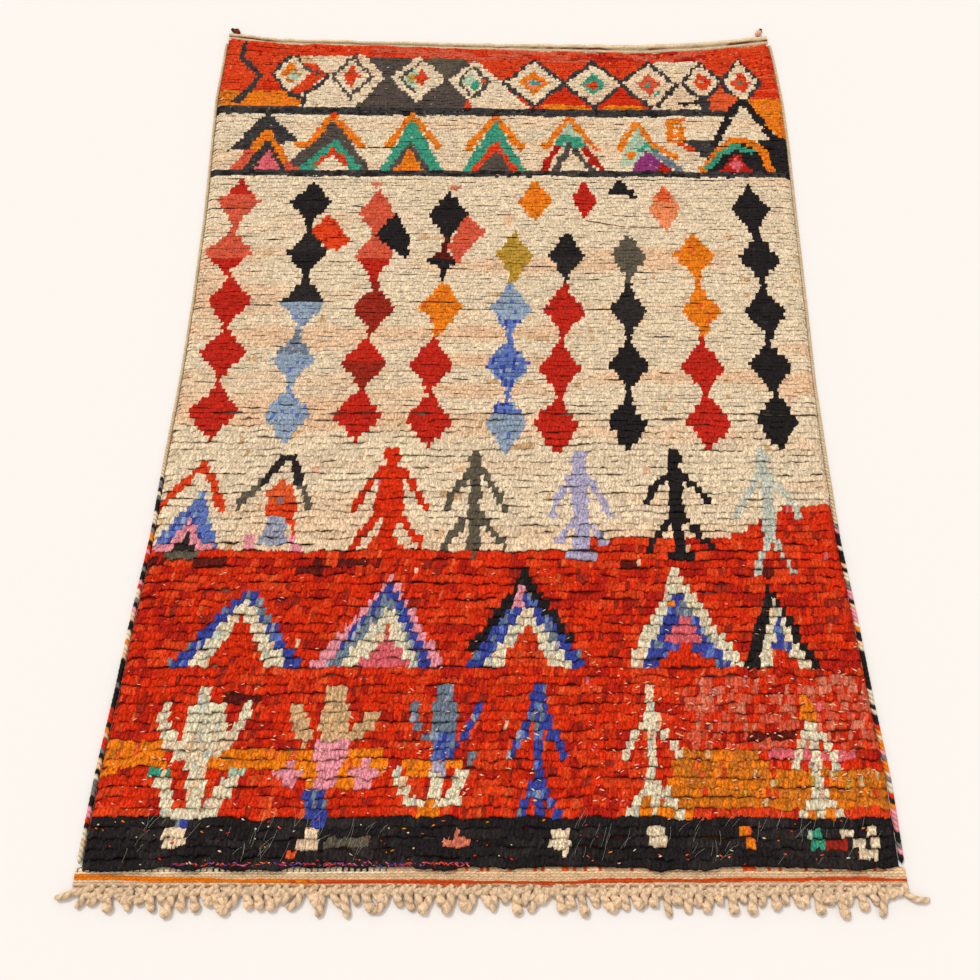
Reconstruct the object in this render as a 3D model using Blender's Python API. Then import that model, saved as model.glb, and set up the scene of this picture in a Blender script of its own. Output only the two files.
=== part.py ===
"""A hand-knotted wool rug lying flat on a floor.

The cloth is one solid: a pile field with its knot rows raised, a thin flat-woven band at each end
and a soft roll along the far edge. An overcast binding runs down each side, a knotted fringe lies in
front of the near edge, and a small tie of yarn ends lies at each far corner.

X runs across the rug, Y runs from the fringe to the far end and Z is up. While it is drawn, Y is zero
at the near edge of the pile. At the end everything moves to stand centred on the origin.
"""
import math
import random

import bmesh
import bpy
from mathutils import Matrix, Vector, noise

# Driving sizes, in metres
GAP = 0.0003
PILE_LENGTH = 2.299
NEAR_PILE_HEIGHT = 0.0175
FAR_PILE_HEIGHT = 0.0130
NEAR_BAND_DEPTH = 0.034
NEAR_BAND_HEIGHT = 0.0045
FAR_BAND_HEIGHT = 0.0045
FAR_ROLL_HEIGHT = 0.0095
PILE_EDGE_HEIGHT = 0.0065
PILE_UNEVENNESS = 0.0024
ROW_WANDER = 0.0028
CREASE_DEPTH = 0.0022
CREASE_HALF_WIDTH = 0.028
HALF_CLOTH = 0.78
NEAR_SKEW = 0.009
SKEW_FADES_AT = 1.8
BOW_STARTS_AT = 1.9

NEAR_BINDING_RADIUS = 0.0055
FAR_BINDING_RADIUS = 0.0042
BINDING_START = 0.007
BINDING_STOP = 2.290
BINDING_POINTS = 96
BINDING_TIGHTNESS = 0.92
BINDING_WAVE = 0.07

FRINGE_STRIP_DEPTH = 0.007
FRINGE_STRIP_HEIGHT = 0.0060
TASSELS = 78
TASSEL_ROOT_WIDTH = 0.0140
LONG_TASSEL = 0.046
SHORT_TASSEL = 0.031
TASSEL_LENGTH_SPREAD = 0.004
TASSEL_SWAY = 0.0045
TASSEL_SWAY_SPREAD = 0.0010
CORNER_SPLAY = 0.052
SPLAY_STARTS_AT = 0.92
CORNER_SHORTENING = 0.35

# Outer edges of the rug, bindings included, seen from above
EDGE_COLUMNS = ("along", "left", "right")
EDGE_STATIONS = (
    (0.00, -0.808, 0.806),
    (0.17, -0.804, 0.807),
    (0.33, -0.795, 0.798),
    (0.51, -0.788, 0.791),
    (0.70, -0.777, 0.780),
    (0.90, -0.777, 0.779),
    (1.12, -0.773, 0.780),
    (1.36, -0.776, 0.789),
    (1.62, -0.784, 0.798),
    (1.91, -0.801, 0.809),
    (2.06, -0.810, 0.811),
    (2.22, -0.809, 0.806),
    (2.34, -0.811, 0.798),
)

# The far end is not straight: how far the pile stops short there, and how deep its flat band is
FAR_COLUMNS = ("across", "drop", "band")
FAR_STATIONS = (
    (-1.00, 0.000, 0.030),
    (-0.80, 0.023, 0.031),
    (-0.45, 0.031, 0.030),
    (0.00, 0.045, 0.035),
    (0.54, 0.060, 0.049),
    (0.80, 0.041, 0.044),
    (1.00, 0.018, 0.048),
)

# Stretches of the pile, whose knots are big near the fringe and fine towards the far end
ZONE_COLUMNS = ("start", "stop", "pitch", "furrow")
PILE_ZONES = (
    (0.000, 0.665, 0.0190, 0.0040),
    (0.665, 1.020, 0.0165, 0.0032),
    (1.020, PILE_LENGTH, 0.0105, 0.0022),
)

# One tassel from its root to its tip, as shares of its length, with its size there
TASSEL_COLUMNS = ("share", "half_width", "height")
TASSEL_SECTIONS = (
    (0.30, 0.0072, 0.0115),
    (0.54, 0.0064, 0.0105),
    (0.70, 0.0090, 0.0150),
    (0.88, 0.0088, 0.0145),
    (1.00, 0.0048, 0.0085),
)

# A corner tie from its blunt end to its tuft, as distances along it, with its radius there
TIE_COLUMNS = ("along", "radius")
TIE_SECTIONS = (
    (0.000, 0.0045),
    (0.003, 0.0070),
    (0.009, 0.0088),
    (0.015, 0.0070),
    (0.019, 0.0038),
    (0.027, 0.0052),
    (0.033, 0.0030),
)
TIE_SIDES = 8
TIE_ACROSS = 0.955
TIE_CLEARANCE = 0.0045

COLLECTION = "azilal_rug"


def as_rows(columns, table):
    return [dict(zip(columns, row)) for row in table]


EDGES = as_rows(EDGE_COLUMNS, EDGE_STATIONS)
FAR_END = as_rows(FAR_COLUMNS, FAR_STATIONS)
ZONES = as_rows(ZONE_COLUMNS, PILE_ZONES)


def clear_scene():
    for leftover in list(bpy.data.objects):
        bpy.data.objects.remove(leftover, do_unlink=True)
    collection = bpy.data.collections.new(COLLECTION)
    bpy.context.scene.collection.children.link(collection)
    return collection


def wool(name, colour, roughness=0.95):
    material = bpy.data.materials.new(name)
    material.use_nodes = True
    shader = material.node_tree.nodes["Principled BSDF"]
    shader.inputs["Base Color"].default_value = (*colour, 1.0)
    shader.inputs["Roughness"].default_value = roughness
    shader.inputs["Metallic"].default_value = 0.0
    return material


def object_from(bm, name, material, collection):
    bmesh.ops.recalc_face_normals(bm, faces=bm.faces)
    mesh = bpy.data.meshes.new(name)
    bm.to_mesh(mesh)
    bm.free()
    mesh.materials.append(material)
    made = bpy.data.objects.new(name, mesh)
    collection.objects.link(made)
    return made


def smooth_step(low, high, value):
    share = min(max((value - low) / (high - low), 0.0), 1.0)
    return share * share * (3.0 - 2.0 * share)


def between(rows, key, value, wanted):
    """Reads one column of a table at a place between its rows."""
    if value <= rows[0][key]:
        return rows[0][wanted]
    for here, there in zip(rows, rows[1:]):
        if value <= there[key]:
            share = (value - here[key]) / (there[key] - here[key])
            return here[wanted] + (there[wanted] - here[wanted]) * share
    return rows[-1][wanted]


# Where the rug's edges and rows lie

def edge_at(along, side):
    """Outer edge of the rug, its binding included."""
    return between(EDGES, "along", along, side)


def lie_of_row(across, along):
    """Rows are not quite square: the near ones are skewed, and the far ones sag to the viewer."""
    skew = NEAR_SKEW * across * max(0.0, 1.0 - along / SKEW_FADES_AT)
    reach = max(0.0, (along - BOW_STARTS_AT) / (PILE_LENGTH - BOW_STARTS_AT))
    return along + skew - between(FAR_END, "across", across, "drop") * reach ** 1.5


def binding_radius(along):
    return NEAR_BINDING_RADIUS + (FAR_BINDING_RADIUS - NEAR_BINDING_RADIUS) * smooth_step(0.6, 1.2, along)


def binding_width(along):
    return 2.0 * binding_radius(along) + GAP


# The cloth

def near_rows():
    """Flat-woven band in front of the pile: distance along, height and whether a binding flanks it."""
    return [
        (-NEAR_BAND_DEPTH, 0.6 * NEAR_BAND_HEIGHT, False),
        (-0.75 * NEAR_BAND_DEPTH, NEAR_BAND_HEIGHT, False),
        (-0.10 * NEAR_BAND_DEPTH, NEAR_BAND_HEIGHT, False),
    ]


def pile_thickness(along):
    return NEAR_PILE_HEIGHT + (FAR_PILE_HEIGHT - NEAR_PILE_HEIGHT) * smooth_step(0.50, 1.15, along)


def pile_rows():
    """Two lines of points a knot row: the furrow, then the tips that lean over it to the viewer."""
    rows = []
    for zone in ZONES:
        count = round((zone["stop"] - zone["start"]) / zone["pitch"])
        pitch = (zone["stop"] - zone["start"]) / count
        for index in range(count):
            start = zone["start"] + index * pitch
            height = pile_thickness(start)
            rows.append((start, height - zone["furrow"], True))
            rows.append((start + 0.35 * pitch, height, True))
    rows[0] = (rows[0][0], 0.45 * NEAR_PILE_HEIGHT, True)
    return rows


def far_rows():
    """Pile edge, crease, flat band and the roll along its edge, as shares of the band's depth."""
    return [
        (0.00, 0.75 * FAR_PILE_HEIGHT),
        (0.16, 0.85 * FAR_BAND_HEIGHT),
        (0.50, FAR_BAND_HEIGHT),
        (0.74, FAR_ROLL_HEIGHT),
        (1.00, 0.45 * FAR_ROLL_HEIGHT),
    ]


def far_band_depth(across):
    return between(FAR_END, "across", across, "band")


def crease_across(along):
    """The soft lengthwise crease left by folding, where it crosses a row, from -1 to 1."""
    return 0.050 + 0.030 * (1.0 - along / PILE_LENGTH)


def columns_across(along):
    """Places across the cloth, close together at its rims and about the crease."""
    crease = crease_across(along)
    half = CREASE_HALF_WIDTH / HALF_CLOTH
    return [-1.0, -0.984, -0.80, -0.45, crease - half, crease, crease + half, 0.54, 0.80, 0.984, 1.0]


def unevenness(x, along):
    """Broad swells of the pile, a hand wide."""
    return PILE_UNEVENNESS * noise.noise(Vector((x * 3.1, along * 4.3, 0.7)))


def wander(x, along):
    """How far a hand-tied row strays from its line; nothing at the pile's two ends."""
    held = smooth_step(0.0, 0.05, along) * (1.0 - smooth_step(PILE_LENGTH - 0.05, PILE_LENGTH, along))
    return ROW_WANDER * held * noise.noise(Vector((x * 4.7, along * 6.1, 3.3)))


def pile_height(column, column_count, height, x, along):
    if column in (0, column_count):
        return PILE_EDGE_HEIGHT
    if column in (1, column_count - 1):
        height -= 0.0015
    if column == column_count // 2:
        height -= CREASE_DEPTH
    return height + unevenness(x, along)


def cloth_point(column, row, rows):
    """Place of one point of the cloth's upper face."""
    near_count = len(near_rows())
    far_start = len(rows) - len(far_rows())
    along, height, has_binding = rows[row]
    across_all = columns_across(max(0.0, min(along, PILE_LENGTH)))
    across = across_all[column]
    if row >= far_start:
        y = lie_of_row(across, PILE_LENGTH) + along * far_band_depth(across)
    else:
        y = lie_of_row(across, along)
    inset = binding_width(y) if has_binding else 0.0
    left = edge_at(y, "left") + inset
    right = edge_at(y, "right") - inset
    x = left + (right - left) * (across + 1.0) / 2.0
    if near_count <= row < far_start:
        height = pile_height(column, len(across_all) - 1, height, x, along)
        y += wander(x, along)
    return Vector((x, y, height))


def build_cloth(collection):
    rows = near_rows() + pile_rows() + [(share, height, True) for share, height in far_rows()]
    column_count = len(columns_across(0.0)) - 1
    row_count = len(rows) - 1
    bm = bmesh.new()
    bmesh.ops.create_grid(bm, x_segments=column_count, y_segments=row_count, size=0.5)
    for vert in bm.verts:
        column = round((vert.co.x + 0.5) * column_count)
        row = round((vert.co.y + 0.5) * row_count)
        vert.co = cloth_point(column, row, rows)
    rim = [edge for edge in bm.edges if edge.is_boundary]
    skirt = bmesh.ops.extrude_edge_only(bm, edges=rim)["geom"]
    for vert in (item for item in skirt if isinstance(item, bmesh.types.BMVert)):
        vert.co.z = 0.0
    foot = [item for item in skirt if isinstance(item, bmesh.types.BMEdge) and item.is_boundary]
    bmesh.ops.contextual_create(bm, geom=foot)
    return object_from(bm, "rug", wool("rug_wool", (0.72, 0.60, 0.45)), collection)


# The overcast bindings down both sides

def build_binding(side, collection):
    curve = bpy.data.curves.new(f"edge_binding_{side}", "CURVE")
    curve.dimensions = "3D"
    curve.bevel_depth = 1.0
    curve.bevel_resolution = 1
    curve.use_fill_caps = True
    spline = curve.splines.new("POLY")
    spline.points.add(BINDING_POINTS - 1)
    inward = 1.0 if side == "left" else -1.0
    skew = -NEAR_SKEW if side == "left" else NEAR_SKEW
    for index, point in enumerate(spline.points):
        along = BINDING_START + skew + (BINDING_STOP - BINDING_START - skew) * index / (BINDING_POINTS - 1)
        full = binding_radius(along)
        radius = full * (BINDING_TIGHTNESS + BINDING_WAVE * math.sin(index * 2.3) * math.cos(index * 0.9))
        point.co = (edge_at(along, side) + inward * full, along, full, 1.0)
        point.radius = radius
    binding = bpy.data.objects.new(curve.name, curve)
    collection.objects.link(binding)
    curve.materials.append(wool(curve.name, (0.55, 0.42, 0.33)))
    return binding


# The fringe

def tassel_roots():
    """Middle of each tassel's root across the near edge, from -1 to 1."""
    return [(index + 0.5) / TASSELS * 2.0 - 1.0 for index in range(TASSELS)]


def fringe_x(across):
    left = edge_at(0.0, "left")
    right = edge_at(0.0, "right")
    return left + (right - left) * (across + 1.0) / 2.0


def near_edge_y(across):
    return lie_of_row(across, -NEAR_BAND_DEPTH)


def strip_columns():
    """Places across the strip: its two ends, and both sides of every tassel's root."""
    half = TASSEL_ROOT_WIDTH / (edge_at(0.0, "right") - edge_at(0.0, "left"))
    places = [-1.0]
    for root in tassel_roots():
        places += [root - half, root + half]
    return places + [1.0]


def splay(across):
    """How far a tip lies outward of its root: the corner tassels fan out."""
    reach = max(0.0, (abs(across) - SPLAY_STARTS_AT) / (1.0 - SPLAY_STARTS_AT))
    return math.copysign(CORNER_SPLAY * reach * reach, across)


def grow_tassel(bm, face, across, sway, length):
    """Pulls one cell of the strip's front out to the viewer, a section at a time."""
    root_x = fringe_x(across)
    root_y = near_edge_y(across) - GAP - FRINGE_STRIP_DEPTH
    for section in as_rows(TASSEL_COLUMNS, TASSEL_SECTIONS):
        face = bmesh.ops.extrude_discrete_faces(bm, faces=[face])["faces"][0]
        centre = face.calc_center_median()
        share = section["share"]
        x = root_x + (sway + splay(across)) * share ** 1.6
        y = root_y - length * share
        for vert in face.verts:
            side = math.copysign(section["half_width"], vert.co.x - centre.x)
            is_top = vert.co.z > centre.z
            vert.co = (x + side, y, section["height"] if is_top else 0.0)


def build_fringe(collection):
    dice = random.Random(7)
    places = strip_columns()
    cells = len(places) - 1
    bm = bmesh.new()
    bmesh.ops.create_grid(bm, x_segments=cells, y_segments=1, size=0.5)
    for vert in bm.verts:
        across = places[round((vert.co.x + 0.5) * cells)]
        height = FRINGE_STRIP_HEIGHT if vert.co.y > 0.0 else 0.0
        vert.co = (fringe_x(across), near_edge_y(across) - GAP, height)
    back = bm.faces[:]
    pulled = bmesh.ops.extrude_face_region(bm, geom=back)["geom"]
    for vert in (item for item in pulled if isinstance(item, bmesh.types.BMVert)):
        vert.co.y -= FRINGE_STRIP_DEPTH
    front = [item for item in pulled if isinstance(item, bmesh.types.BMFace)]
    front.sort(key=lambda face: face.calc_center_median().x)
    for index, root in enumerate(tassel_roots()):
        length = LONG_TASSEL if index % 2 else SHORT_TASSEL
        length += dice.uniform(-TASSEL_LENGTH_SPREAD, TASSEL_LENGTH_SPREAD)
        length *= 1.0 - CORNER_SHORTENING * smooth_step(SPLAY_STARTS_AT, 1.0, abs(root))
        sway = TASSEL_SWAY * math.sin(index * 0.55) + dice.uniform(-TASSEL_SWAY_SPREAD, TASSEL_SWAY_SPREAD)
        grow_tassel(bm, front[2 * index + 1], root, sway, length)
    return object_from(bm, "fringe", wool("fringe_wool", (0.80, 0.70, 0.54)), collection)


# The ties at the far corners

def build_corner_tie(side, heading, collection):
    """A knotted end of yarn lying behind the far corner, pointing along a heading in degrees."""
    across = -TIE_ACROSS if side == "left" else TIE_ACROSS
    cloth_edge = lie_of_row(across, PILE_LENGTH) + far_band_depth(across)
    start = Vector((TIE_ACROSS * edge_at(cloth_edge, side), cloth_edge + TIE_CLEARANCE, 0.0))
    direction = Matrix.Rotation(math.radians(heading), 4, "Z") @ Vector((1.0, 0.0, 0.0))
    turn = direction.to_track_quat("Z", "Y").to_matrix().to_4x4()
    bm = bmesh.new()
    bmesh.ops.create_circle(bm, cap_ends=True, segments=TIE_SIDES, radius=1.0)
    face = next(iter(bm.faces))
    rings = []
    for section in as_rows(TIE_COLUMNS, TIE_SECTIONS):
        if len(rings) == 1:
            pulled = bmesh.ops.extrude_face_region(bm, geom=[face])["geom"]
            face = next(item for item in pulled if isinstance(item, bmesh.types.BMFace))
        elif rings:
            face = bmesh.ops.extrude_discrete_faces(bm, faces=[face])["faces"][0]
        radius = section["radius"]
        for vert in face.verts:
            angle = math.atan2(vert.co.y, vert.co.x)
            vert.co = (radius * math.cos(angle), radius * math.sin(angle), section["along"])
        rings.append((list(face.verts), radius))
    for verts, radius in rings:
        for vert in verts:
            vert.co = turn @ vert.co + start + Vector((0.0, 0.0, radius))
    return object_from(bm, f"corner_tie_{side}", wool(f"corner_tie_{side}", (0.30, 0.16, 0.12)), collection)


def stand_on_origin(objects):
    """Moves everything together so the middle of its underside is the origin."""
    bpy.context.view_layer.update()
    corners = [made.matrix_world @ Vector(corner) for made in objects for corner in made.bound_box]
    low = Vector(min(corner[axis] for corner in corners) for axis in range(3))
    high = Vector(max(corner[axis] for corner in corners) for axis in range(3))
    shift = Vector(((low.x + high.x) / 2.0, (low.y + high.y) / 2.0, low.z))
    for made in objects:
        made.location -= shift


def main():
    collection = clear_scene()
    objects = [build_cloth(collection)]
    objects += [build_binding(side, collection) for side in ("left", "right")]
    objects.append(build_fringe(collection))
    objects.append(build_corner_tie("left", 38.0, collection))
    objects.append(build_corner_tie("right", 62.0, collection))
    stand_on_origin(objects)


main()
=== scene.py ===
"""Looks of a hand-knotted wool rug: every knot row, the yarn colours, bindings, fringe and corner ties.

Places on the rug are given as x across it and "along" from the near edge of the pile, in metres. Rows of
knots are not quite straight, so lie_of_row turns a place along the rug into where that row really lies.
"""

import math
import random

import bpy
import numpy as np
from mathutils import Euler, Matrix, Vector, noise


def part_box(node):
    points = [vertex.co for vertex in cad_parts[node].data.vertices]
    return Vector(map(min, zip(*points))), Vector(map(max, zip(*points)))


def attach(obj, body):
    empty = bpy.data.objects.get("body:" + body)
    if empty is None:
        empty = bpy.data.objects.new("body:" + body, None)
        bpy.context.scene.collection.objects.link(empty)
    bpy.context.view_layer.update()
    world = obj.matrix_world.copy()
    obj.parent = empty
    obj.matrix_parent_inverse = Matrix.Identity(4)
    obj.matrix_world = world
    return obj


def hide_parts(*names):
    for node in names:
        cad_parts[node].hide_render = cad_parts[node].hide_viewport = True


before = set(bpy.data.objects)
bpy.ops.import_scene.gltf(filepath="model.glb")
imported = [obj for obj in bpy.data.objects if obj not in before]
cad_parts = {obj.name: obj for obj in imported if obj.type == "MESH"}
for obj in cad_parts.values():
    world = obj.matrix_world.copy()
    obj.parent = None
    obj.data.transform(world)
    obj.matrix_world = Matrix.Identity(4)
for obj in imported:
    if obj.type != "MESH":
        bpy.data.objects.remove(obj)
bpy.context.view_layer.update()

# Sizes that the solids have too
GAP = 0.0003
PILE_LENGTH = 2.299
NEAR_PILE_HEIGHT = 0.0175
FAR_PILE_HEIGHT = 0.0130
NEAR_BAND_DEPTH = 0.034
PILE_EDGE_HEIGHT = 0.0065
PILE_UNEVENNESS = 0.0024
SWELL_SCALES = (3.1, 4.3, 0.7)
ROW_WANDER = 0.0028
STRAIGHT_ENDS = 0.05
WANDER_SCALES = (4.7, 6.1, 3.3)
CREASE_DEPTH = 0.0022
CREASE_HALF_WIDTH = 0.028
CREASE_AT = (0.080, 0.050)
HALF_CLOTH = 0.78
NEAR_SKEW = 0.009
SKEW_FADES_AT = 1.8
BOW_STARTS_AT = 1.9
NEAR_BINDING_RADIUS = 0.0055
FAR_BINDING_RADIUS = 0.0042
BINDING_START = 0.007
BINDING_STOP = 2.290
FRINGE_STRIP_DEPTH = 0.007
FRINGE_STRIP_HEIGHT = 0.0060
TASSELS = 78
CORNER_SPLAY = 0.052
SPLAY_STARTS_AT = 0.92
CORNER_SHORTENING = 0.35

EDGES = np.array((
    (0.00, -0.808, 0.806),
    (0.17, -0.804, 0.807),
    (0.33, -0.795, 0.798),
    (0.51, -0.788, 0.791),
    (0.70, -0.777, 0.780),
    (0.90, -0.777, 0.779),
    (1.12, -0.773, 0.780),
    (1.36, -0.776, 0.789),
    (1.62, -0.784, 0.798),
    (1.91, -0.801, 0.809),
    (2.06, -0.810, 0.811),
    (2.22, -0.809, 0.806),
    (2.34, -0.811, 0.798),
))
ALONG, LEFT, RIGHT = range(3)

FAR_END = np.array((
    (-1.00, 0.000, 0.030),
    (-0.80, 0.023, 0.031),
    (-0.45, 0.031, 0.030),
    (0.00, 0.045, 0.035),
    (0.54, 0.060, 0.049),
    (0.80, 0.041, 0.044),
    (1.00, 0.018, 0.048),
))
ACROSS, DROP, BAND = range(3)

# Stretches of the pile: where they lie, row spacing, furrow depth, how much of that is left where a furrow
# closes, how long its open gaps are and how rare, knot width, how far the tufts slant, how much their
# heights differ, and how far their tips stray as a share of the row spacing
ZONE_COLUMNS = (
    "name", "start", "stop", "pitch", "furrow", "closed",
    "gap_length", "rare", "knot", "slant", "lift", "stray",
)
PILE_ZONES = (
    ("near", 0.000, 0.665, 0.0190, 0.0050, 0.40, 0.040, -0.20, 0.0088, 0.16, 0.0020, 0.42),
    ("middle", 0.665, 1.020, 0.0165, 0.0036, 0.25, 0.035, 0.15, 0.0083, 0.12, 0.0012, 0.36),
    ("far", 1.020, PILE_LENGTH, 0.0105, 0.0018, 0.00, 0.015, 0.85, 0.0075, 0.08, 0.0003, 0.30),
)

# One tuft from its hidden front root over its tip to its tail under the next row: share of the row spacing,
# share of the furrow depth below the crest, extra depth in metres, and shade, which is painted shade on the
# hidden root and tail and painted light on the tip.
TUFT_COLUMNS = ("along", "below", "sunk", "shade")
THICK_TUFT = (
    (0.26, 1.00, 0.0030, 0.30),
    (-0.04, 0.90, 0.0012, 0.42),
    (-0.13, 0.42, 0.0000, 0.88),
    (0.12, 0.00, 0.0000, 1.06),
    (0.46, 0.05, 0.0000, 1.02),
    (0.80, 0.42, 0.0000, 0.90),
    (1.08, 1.00, 0.0012, 0.50),
)
FINE_TUFT = (
    (0.10, 1.00, 0.0004, 0.66),
    (-0.08, 0.40, 0.0000, 0.94),
    (0.34, 0.00, 0.0000, 1.03),
    (1.06, 0.90, 0.0004, 0.75),
)

# The pile's pieces: stretch, rows, tuft, and how far each strand of a knot dips towards its neighbours
PIECE_COLUMNS = ("name", "zone", "first", "stop", "tuft", "dips")
PILE_PIECES = (
    ("pile_near_a", "near", 0, 18, THICK_TUFT, (1.0, 0.1, 0.35, 0.1)),
    ("pile_near_b", "near", 18, 35, THICK_TUFT, (1.0, 0.1, 0.35, 0.1)),
    ("pile_middle", "middle", 0, 22, THICK_TUFT, (0.8, 0.1, 0.1)),
    ("pile_far_a", "far", 0, 61, FINE_TUFT, (0.6, 0.0)),
    ("pile_far_b", "far", 61, 122, FINE_TUFT, (0.6, 0.0)),
)
LUMP = 0.0011
ROW_WAVE = 0.30
RIM_WIDTH = 0.014
HIDDEN_BELOW = 0.9
LOWEST_TUFT = 0.0032
TIP_CURL = 0.06
SIDE_CURL = 0.22
SIDE_LEAN = 0.7
DIP_SHARE = 0.7
LEAST_PARTING = 0.25
SEAM_SHADE = 0.26
SHUT_FURROW_SHADE = 0.12
FIRST_ROWS_STOP = 0.010
FIRST_ROWS_TIP = 0.3
KNOT_MIDDLE = 0.35


def as_rows(columns, table):
    return [dict(zip(columns, row)) for row in table]


def smooth_step(low, high, value):
    share = np.clip((value - low) / (high - low), 0.0, 1.0)
    return share * share * (3.0 - 2.0 * share)


# Where the rug's edges and rows lie

def edge_at(along, side):
    return np.interp(along, EDGES[:, ALONG], EDGES[:, side])


def near_edge(share, inset=0.0):
    """x at a share, from -1 to 1, of the near edge, with both its ends drawn in by an inset."""
    left = edge_at(0.0, LEFT)
    right = edge_at(0.0, RIGHT)
    return (left + right) / 2.0 + ((right - left) / 2.0 - inset) * share


def lie_of_row(across, along):
    skew = NEAR_SKEW * across * np.maximum(0.0, 1.0 - along / SKEW_FADES_AT)
    reach = np.maximum(0.0, (along - BOW_STARTS_AT) / (PILE_LENGTH - BOW_STARTS_AT))
    return along + skew - np.interp(across, FAR_END[:, ACROSS], FAR_END[:, DROP]) * reach ** 1.5


def far_band_depth(across):
    return np.interp(across, FAR_END[:, ACROSS], FAR_END[:, BAND])


def binding_radius(along):
    return NEAR_BINDING_RADIUS + (FAR_BINDING_RADIUS - NEAR_BINDING_RADIUS) * smooth_step(0.6, 1.2, along)


def pile_thickness(along):
    return NEAR_PILE_HEIGHT + (FAR_PILE_HEIGHT - NEAR_PILE_HEIGHT) * smooth_step(0.50, 1.15, along)


def cloth_sides(along):
    """Left and right rim of the pile, inside the bindings."""
    inset = 2.0 * binding_radius(along) + GAP
    return edge_at(along, LEFT) + inset, edge_at(along, RIGHT) - inset


# The solids stand centred on the origin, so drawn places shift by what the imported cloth's box says
CLOTH_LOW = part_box("rug")[0]
SHIFT = Vector((
    CLOTH_LOW.x - float(edge_at(0.0, LEFT)),
    CLOTH_LOW.y - float(lie_of_row(-1.0, -NEAR_BAND_DEPTH)),
    CLOTH_LOW.z,
))


# Even randomness without a stored table

def hashed(a, b, seed):
    """A repeatable number from 0 to 1 for each pair of whole numbers."""
    mixed = np.sin(a * 127.1 + b * 311.7 + seed * 74.7) * 43758.5453
    return mixed - np.floor(mixed)


def soft_noise(x, y, seed):
    """Smooth noise from -1 to 1 that varies over a distance of about one."""
    column = np.floor(x)
    row = np.floor(y)
    right = x - column
    up = y - row
    right = right * right * (3.0 - 2.0 * right)
    up = up * up * (3.0 - 2.0 * up)
    low = hashed(column, row, seed) * (1.0 - right) + hashed(column + 1, row, seed) * right
    high = hashed(column, row + 1, seed) * (1.0 - right) + hashed(column + 1, row + 1, seed) * right
    return 2.0 * (low * (1.0 - up) + high * up) - 1.0


def solid_noise(x, along, across_scale, along_scale, slice_at):
    """The noise that the solids use, at many places at once."""
    x, along = np.broadcast_arrays(x, along)
    flat = zip(np.ravel(x) * across_scale, np.ravel(along) * along_scale)
    values = [noise.noise(Vector((a, b, slice_at))) for a, b in flat]
    return np.array(values).reshape(x.shape)


# Yarn colours, as they look on a screen

YARNS = {
    "cream": (225, 203, 172),
    "peach": (226, 182, 144),
    "pink": (222, 140, 150),
    "coral": (206, 84, 58),
    "scarlet": (212, 62, 24),
    "red": (204, 45, 13),
    "crimson": (172, 31, 17),
    "brick": (148, 38, 24),
    "maroon": (92, 26, 20),
    "orange": (228, 120, 20),
    "ochre": (198, 110, 30),
    "mustard": (180, 140, 50),
    "ink": (34, 30, 30),
    "slate": (56, 54, 54),
    "plum": (82, 72, 66),
    "grey": (120, 112, 108),
    "olive": (112, 102, 76),
    "teal": (58, 146, 118),
    "sage": (168, 190, 164),
    "royal": (56, 66, 146),
    "blue": (92, 112, 176),
    "sky": (142, 158, 178),
    "lavender": (170, 162, 188),
    "ash": (186, 188, 174),
    "tan": (204, 164, 120),
    "magenta": (138, 52, 110),
    "rust": (120, 50, 34),
    "beige": (206, 182, 146),
    "undyed": (222, 190, 156),
    "moss": (92, 84, 70),
    "rose": (212, 96, 104),
    "salmon": (210, 116, 90),
    "tangerine": (216, 86, 42),
    "steel": (108, 120, 134),
    "haze": (150, 152, 168),
    "char": (44, 39, 38),
    "ivory": (218, 206, 176),
    "weft": (220, 184, 144),
    "blush": (230, 176, 146),
    "flame": (204, 76, 26),
    "madder": (184, 36, 22),
    "apricot": (226, 132, 86),
}
YARN_CODE = {yarn: code for code, yarn in enumerate(YARNS)}


def linear(screen):
    value = np.asarray(screen, float) / 255.0
    return np.where(value <= 0.04045, value / 12.92, ((value + 0.055) / 1.055) ** 2.4)


YARN_COLOURS = linear(list(YARNS.values()))


def dye_of(yarn):
    return YARN_COLOURS[YARN_CODE[yarn]]


# Motifs: a patch has its corners, a line its width and bends, a lozenge its half width, half length and
# centres, and a block its sides. All are in millimetres, each place as x and then along.

def in_metres(millimetres):
    return millimetres / 1000.0


def places(run):
    metres = [in_metres(number) for number in run]
    return tuple(zip(metres[::2], metres[1::2]))


def patch(yarn, *corners):
    return in_patch, yarn, None, places(corners)


def line(yarn, width, *bends):
    return on_line, yarn, in_metres(width), places(bends)


def block(yarn, left, right, first, last):
    """A rectangle with its sides across and along the rug."""
    return patch(yarn, left, first, right, first, right, last, left, last)


def lozenge(yarn, half_width, half_length, *centres):
    return in_lozenges, yarn, (in_metres(half_width), in_metres(half_length)), places(centres)


def link(x, along, half_width, half_length, upper, lower=None, split=0):
    """A chain's lozenge: the yarns above and below its split, and how far that is above the middle."""
    shape = lozenge(upper, half_width, half_length, x, along)
    return {
        "shape": shape, "centre": shape[-1][0], "split": in_metres(split),
        "upper": upper, "lower": lower or upper,
    }


def in_patch(x, along, corners, size):
    """Whether each place is inside a closed outline."""
    inside = np.zeros(x.shape, bool)
    for (ax, ay), (bx, by) in zip(corners, corners[1:] + corners[:1]):
        spans = (ay > along) != (by > along)
        if ay != by:
            inside ^= spans & (x < ax + (bx - ax) * (along - ay) / (by - ay))
    return inside


def on_line(x, along, bends, width):
    """Whether each place is within half a width of a line through the bends."""
    near = np.zeros(x.shape, bool)
    for (ax, ay), (bx, by) in zip(bends, bends[1:]):
        length = max((bx - ax) ** 2 + (by - ay) ** 2, 1e-9)
        share = np.clip(((x - ax) * (bx - ax) + (along - ay) * (by - ay)) / length, 0.0, 1.0)
        away = np.hypot(x - ax - share * (bx - ax), along - ay - share * (by - ay))
        near |= away <= width / 2.0
    return near


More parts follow.
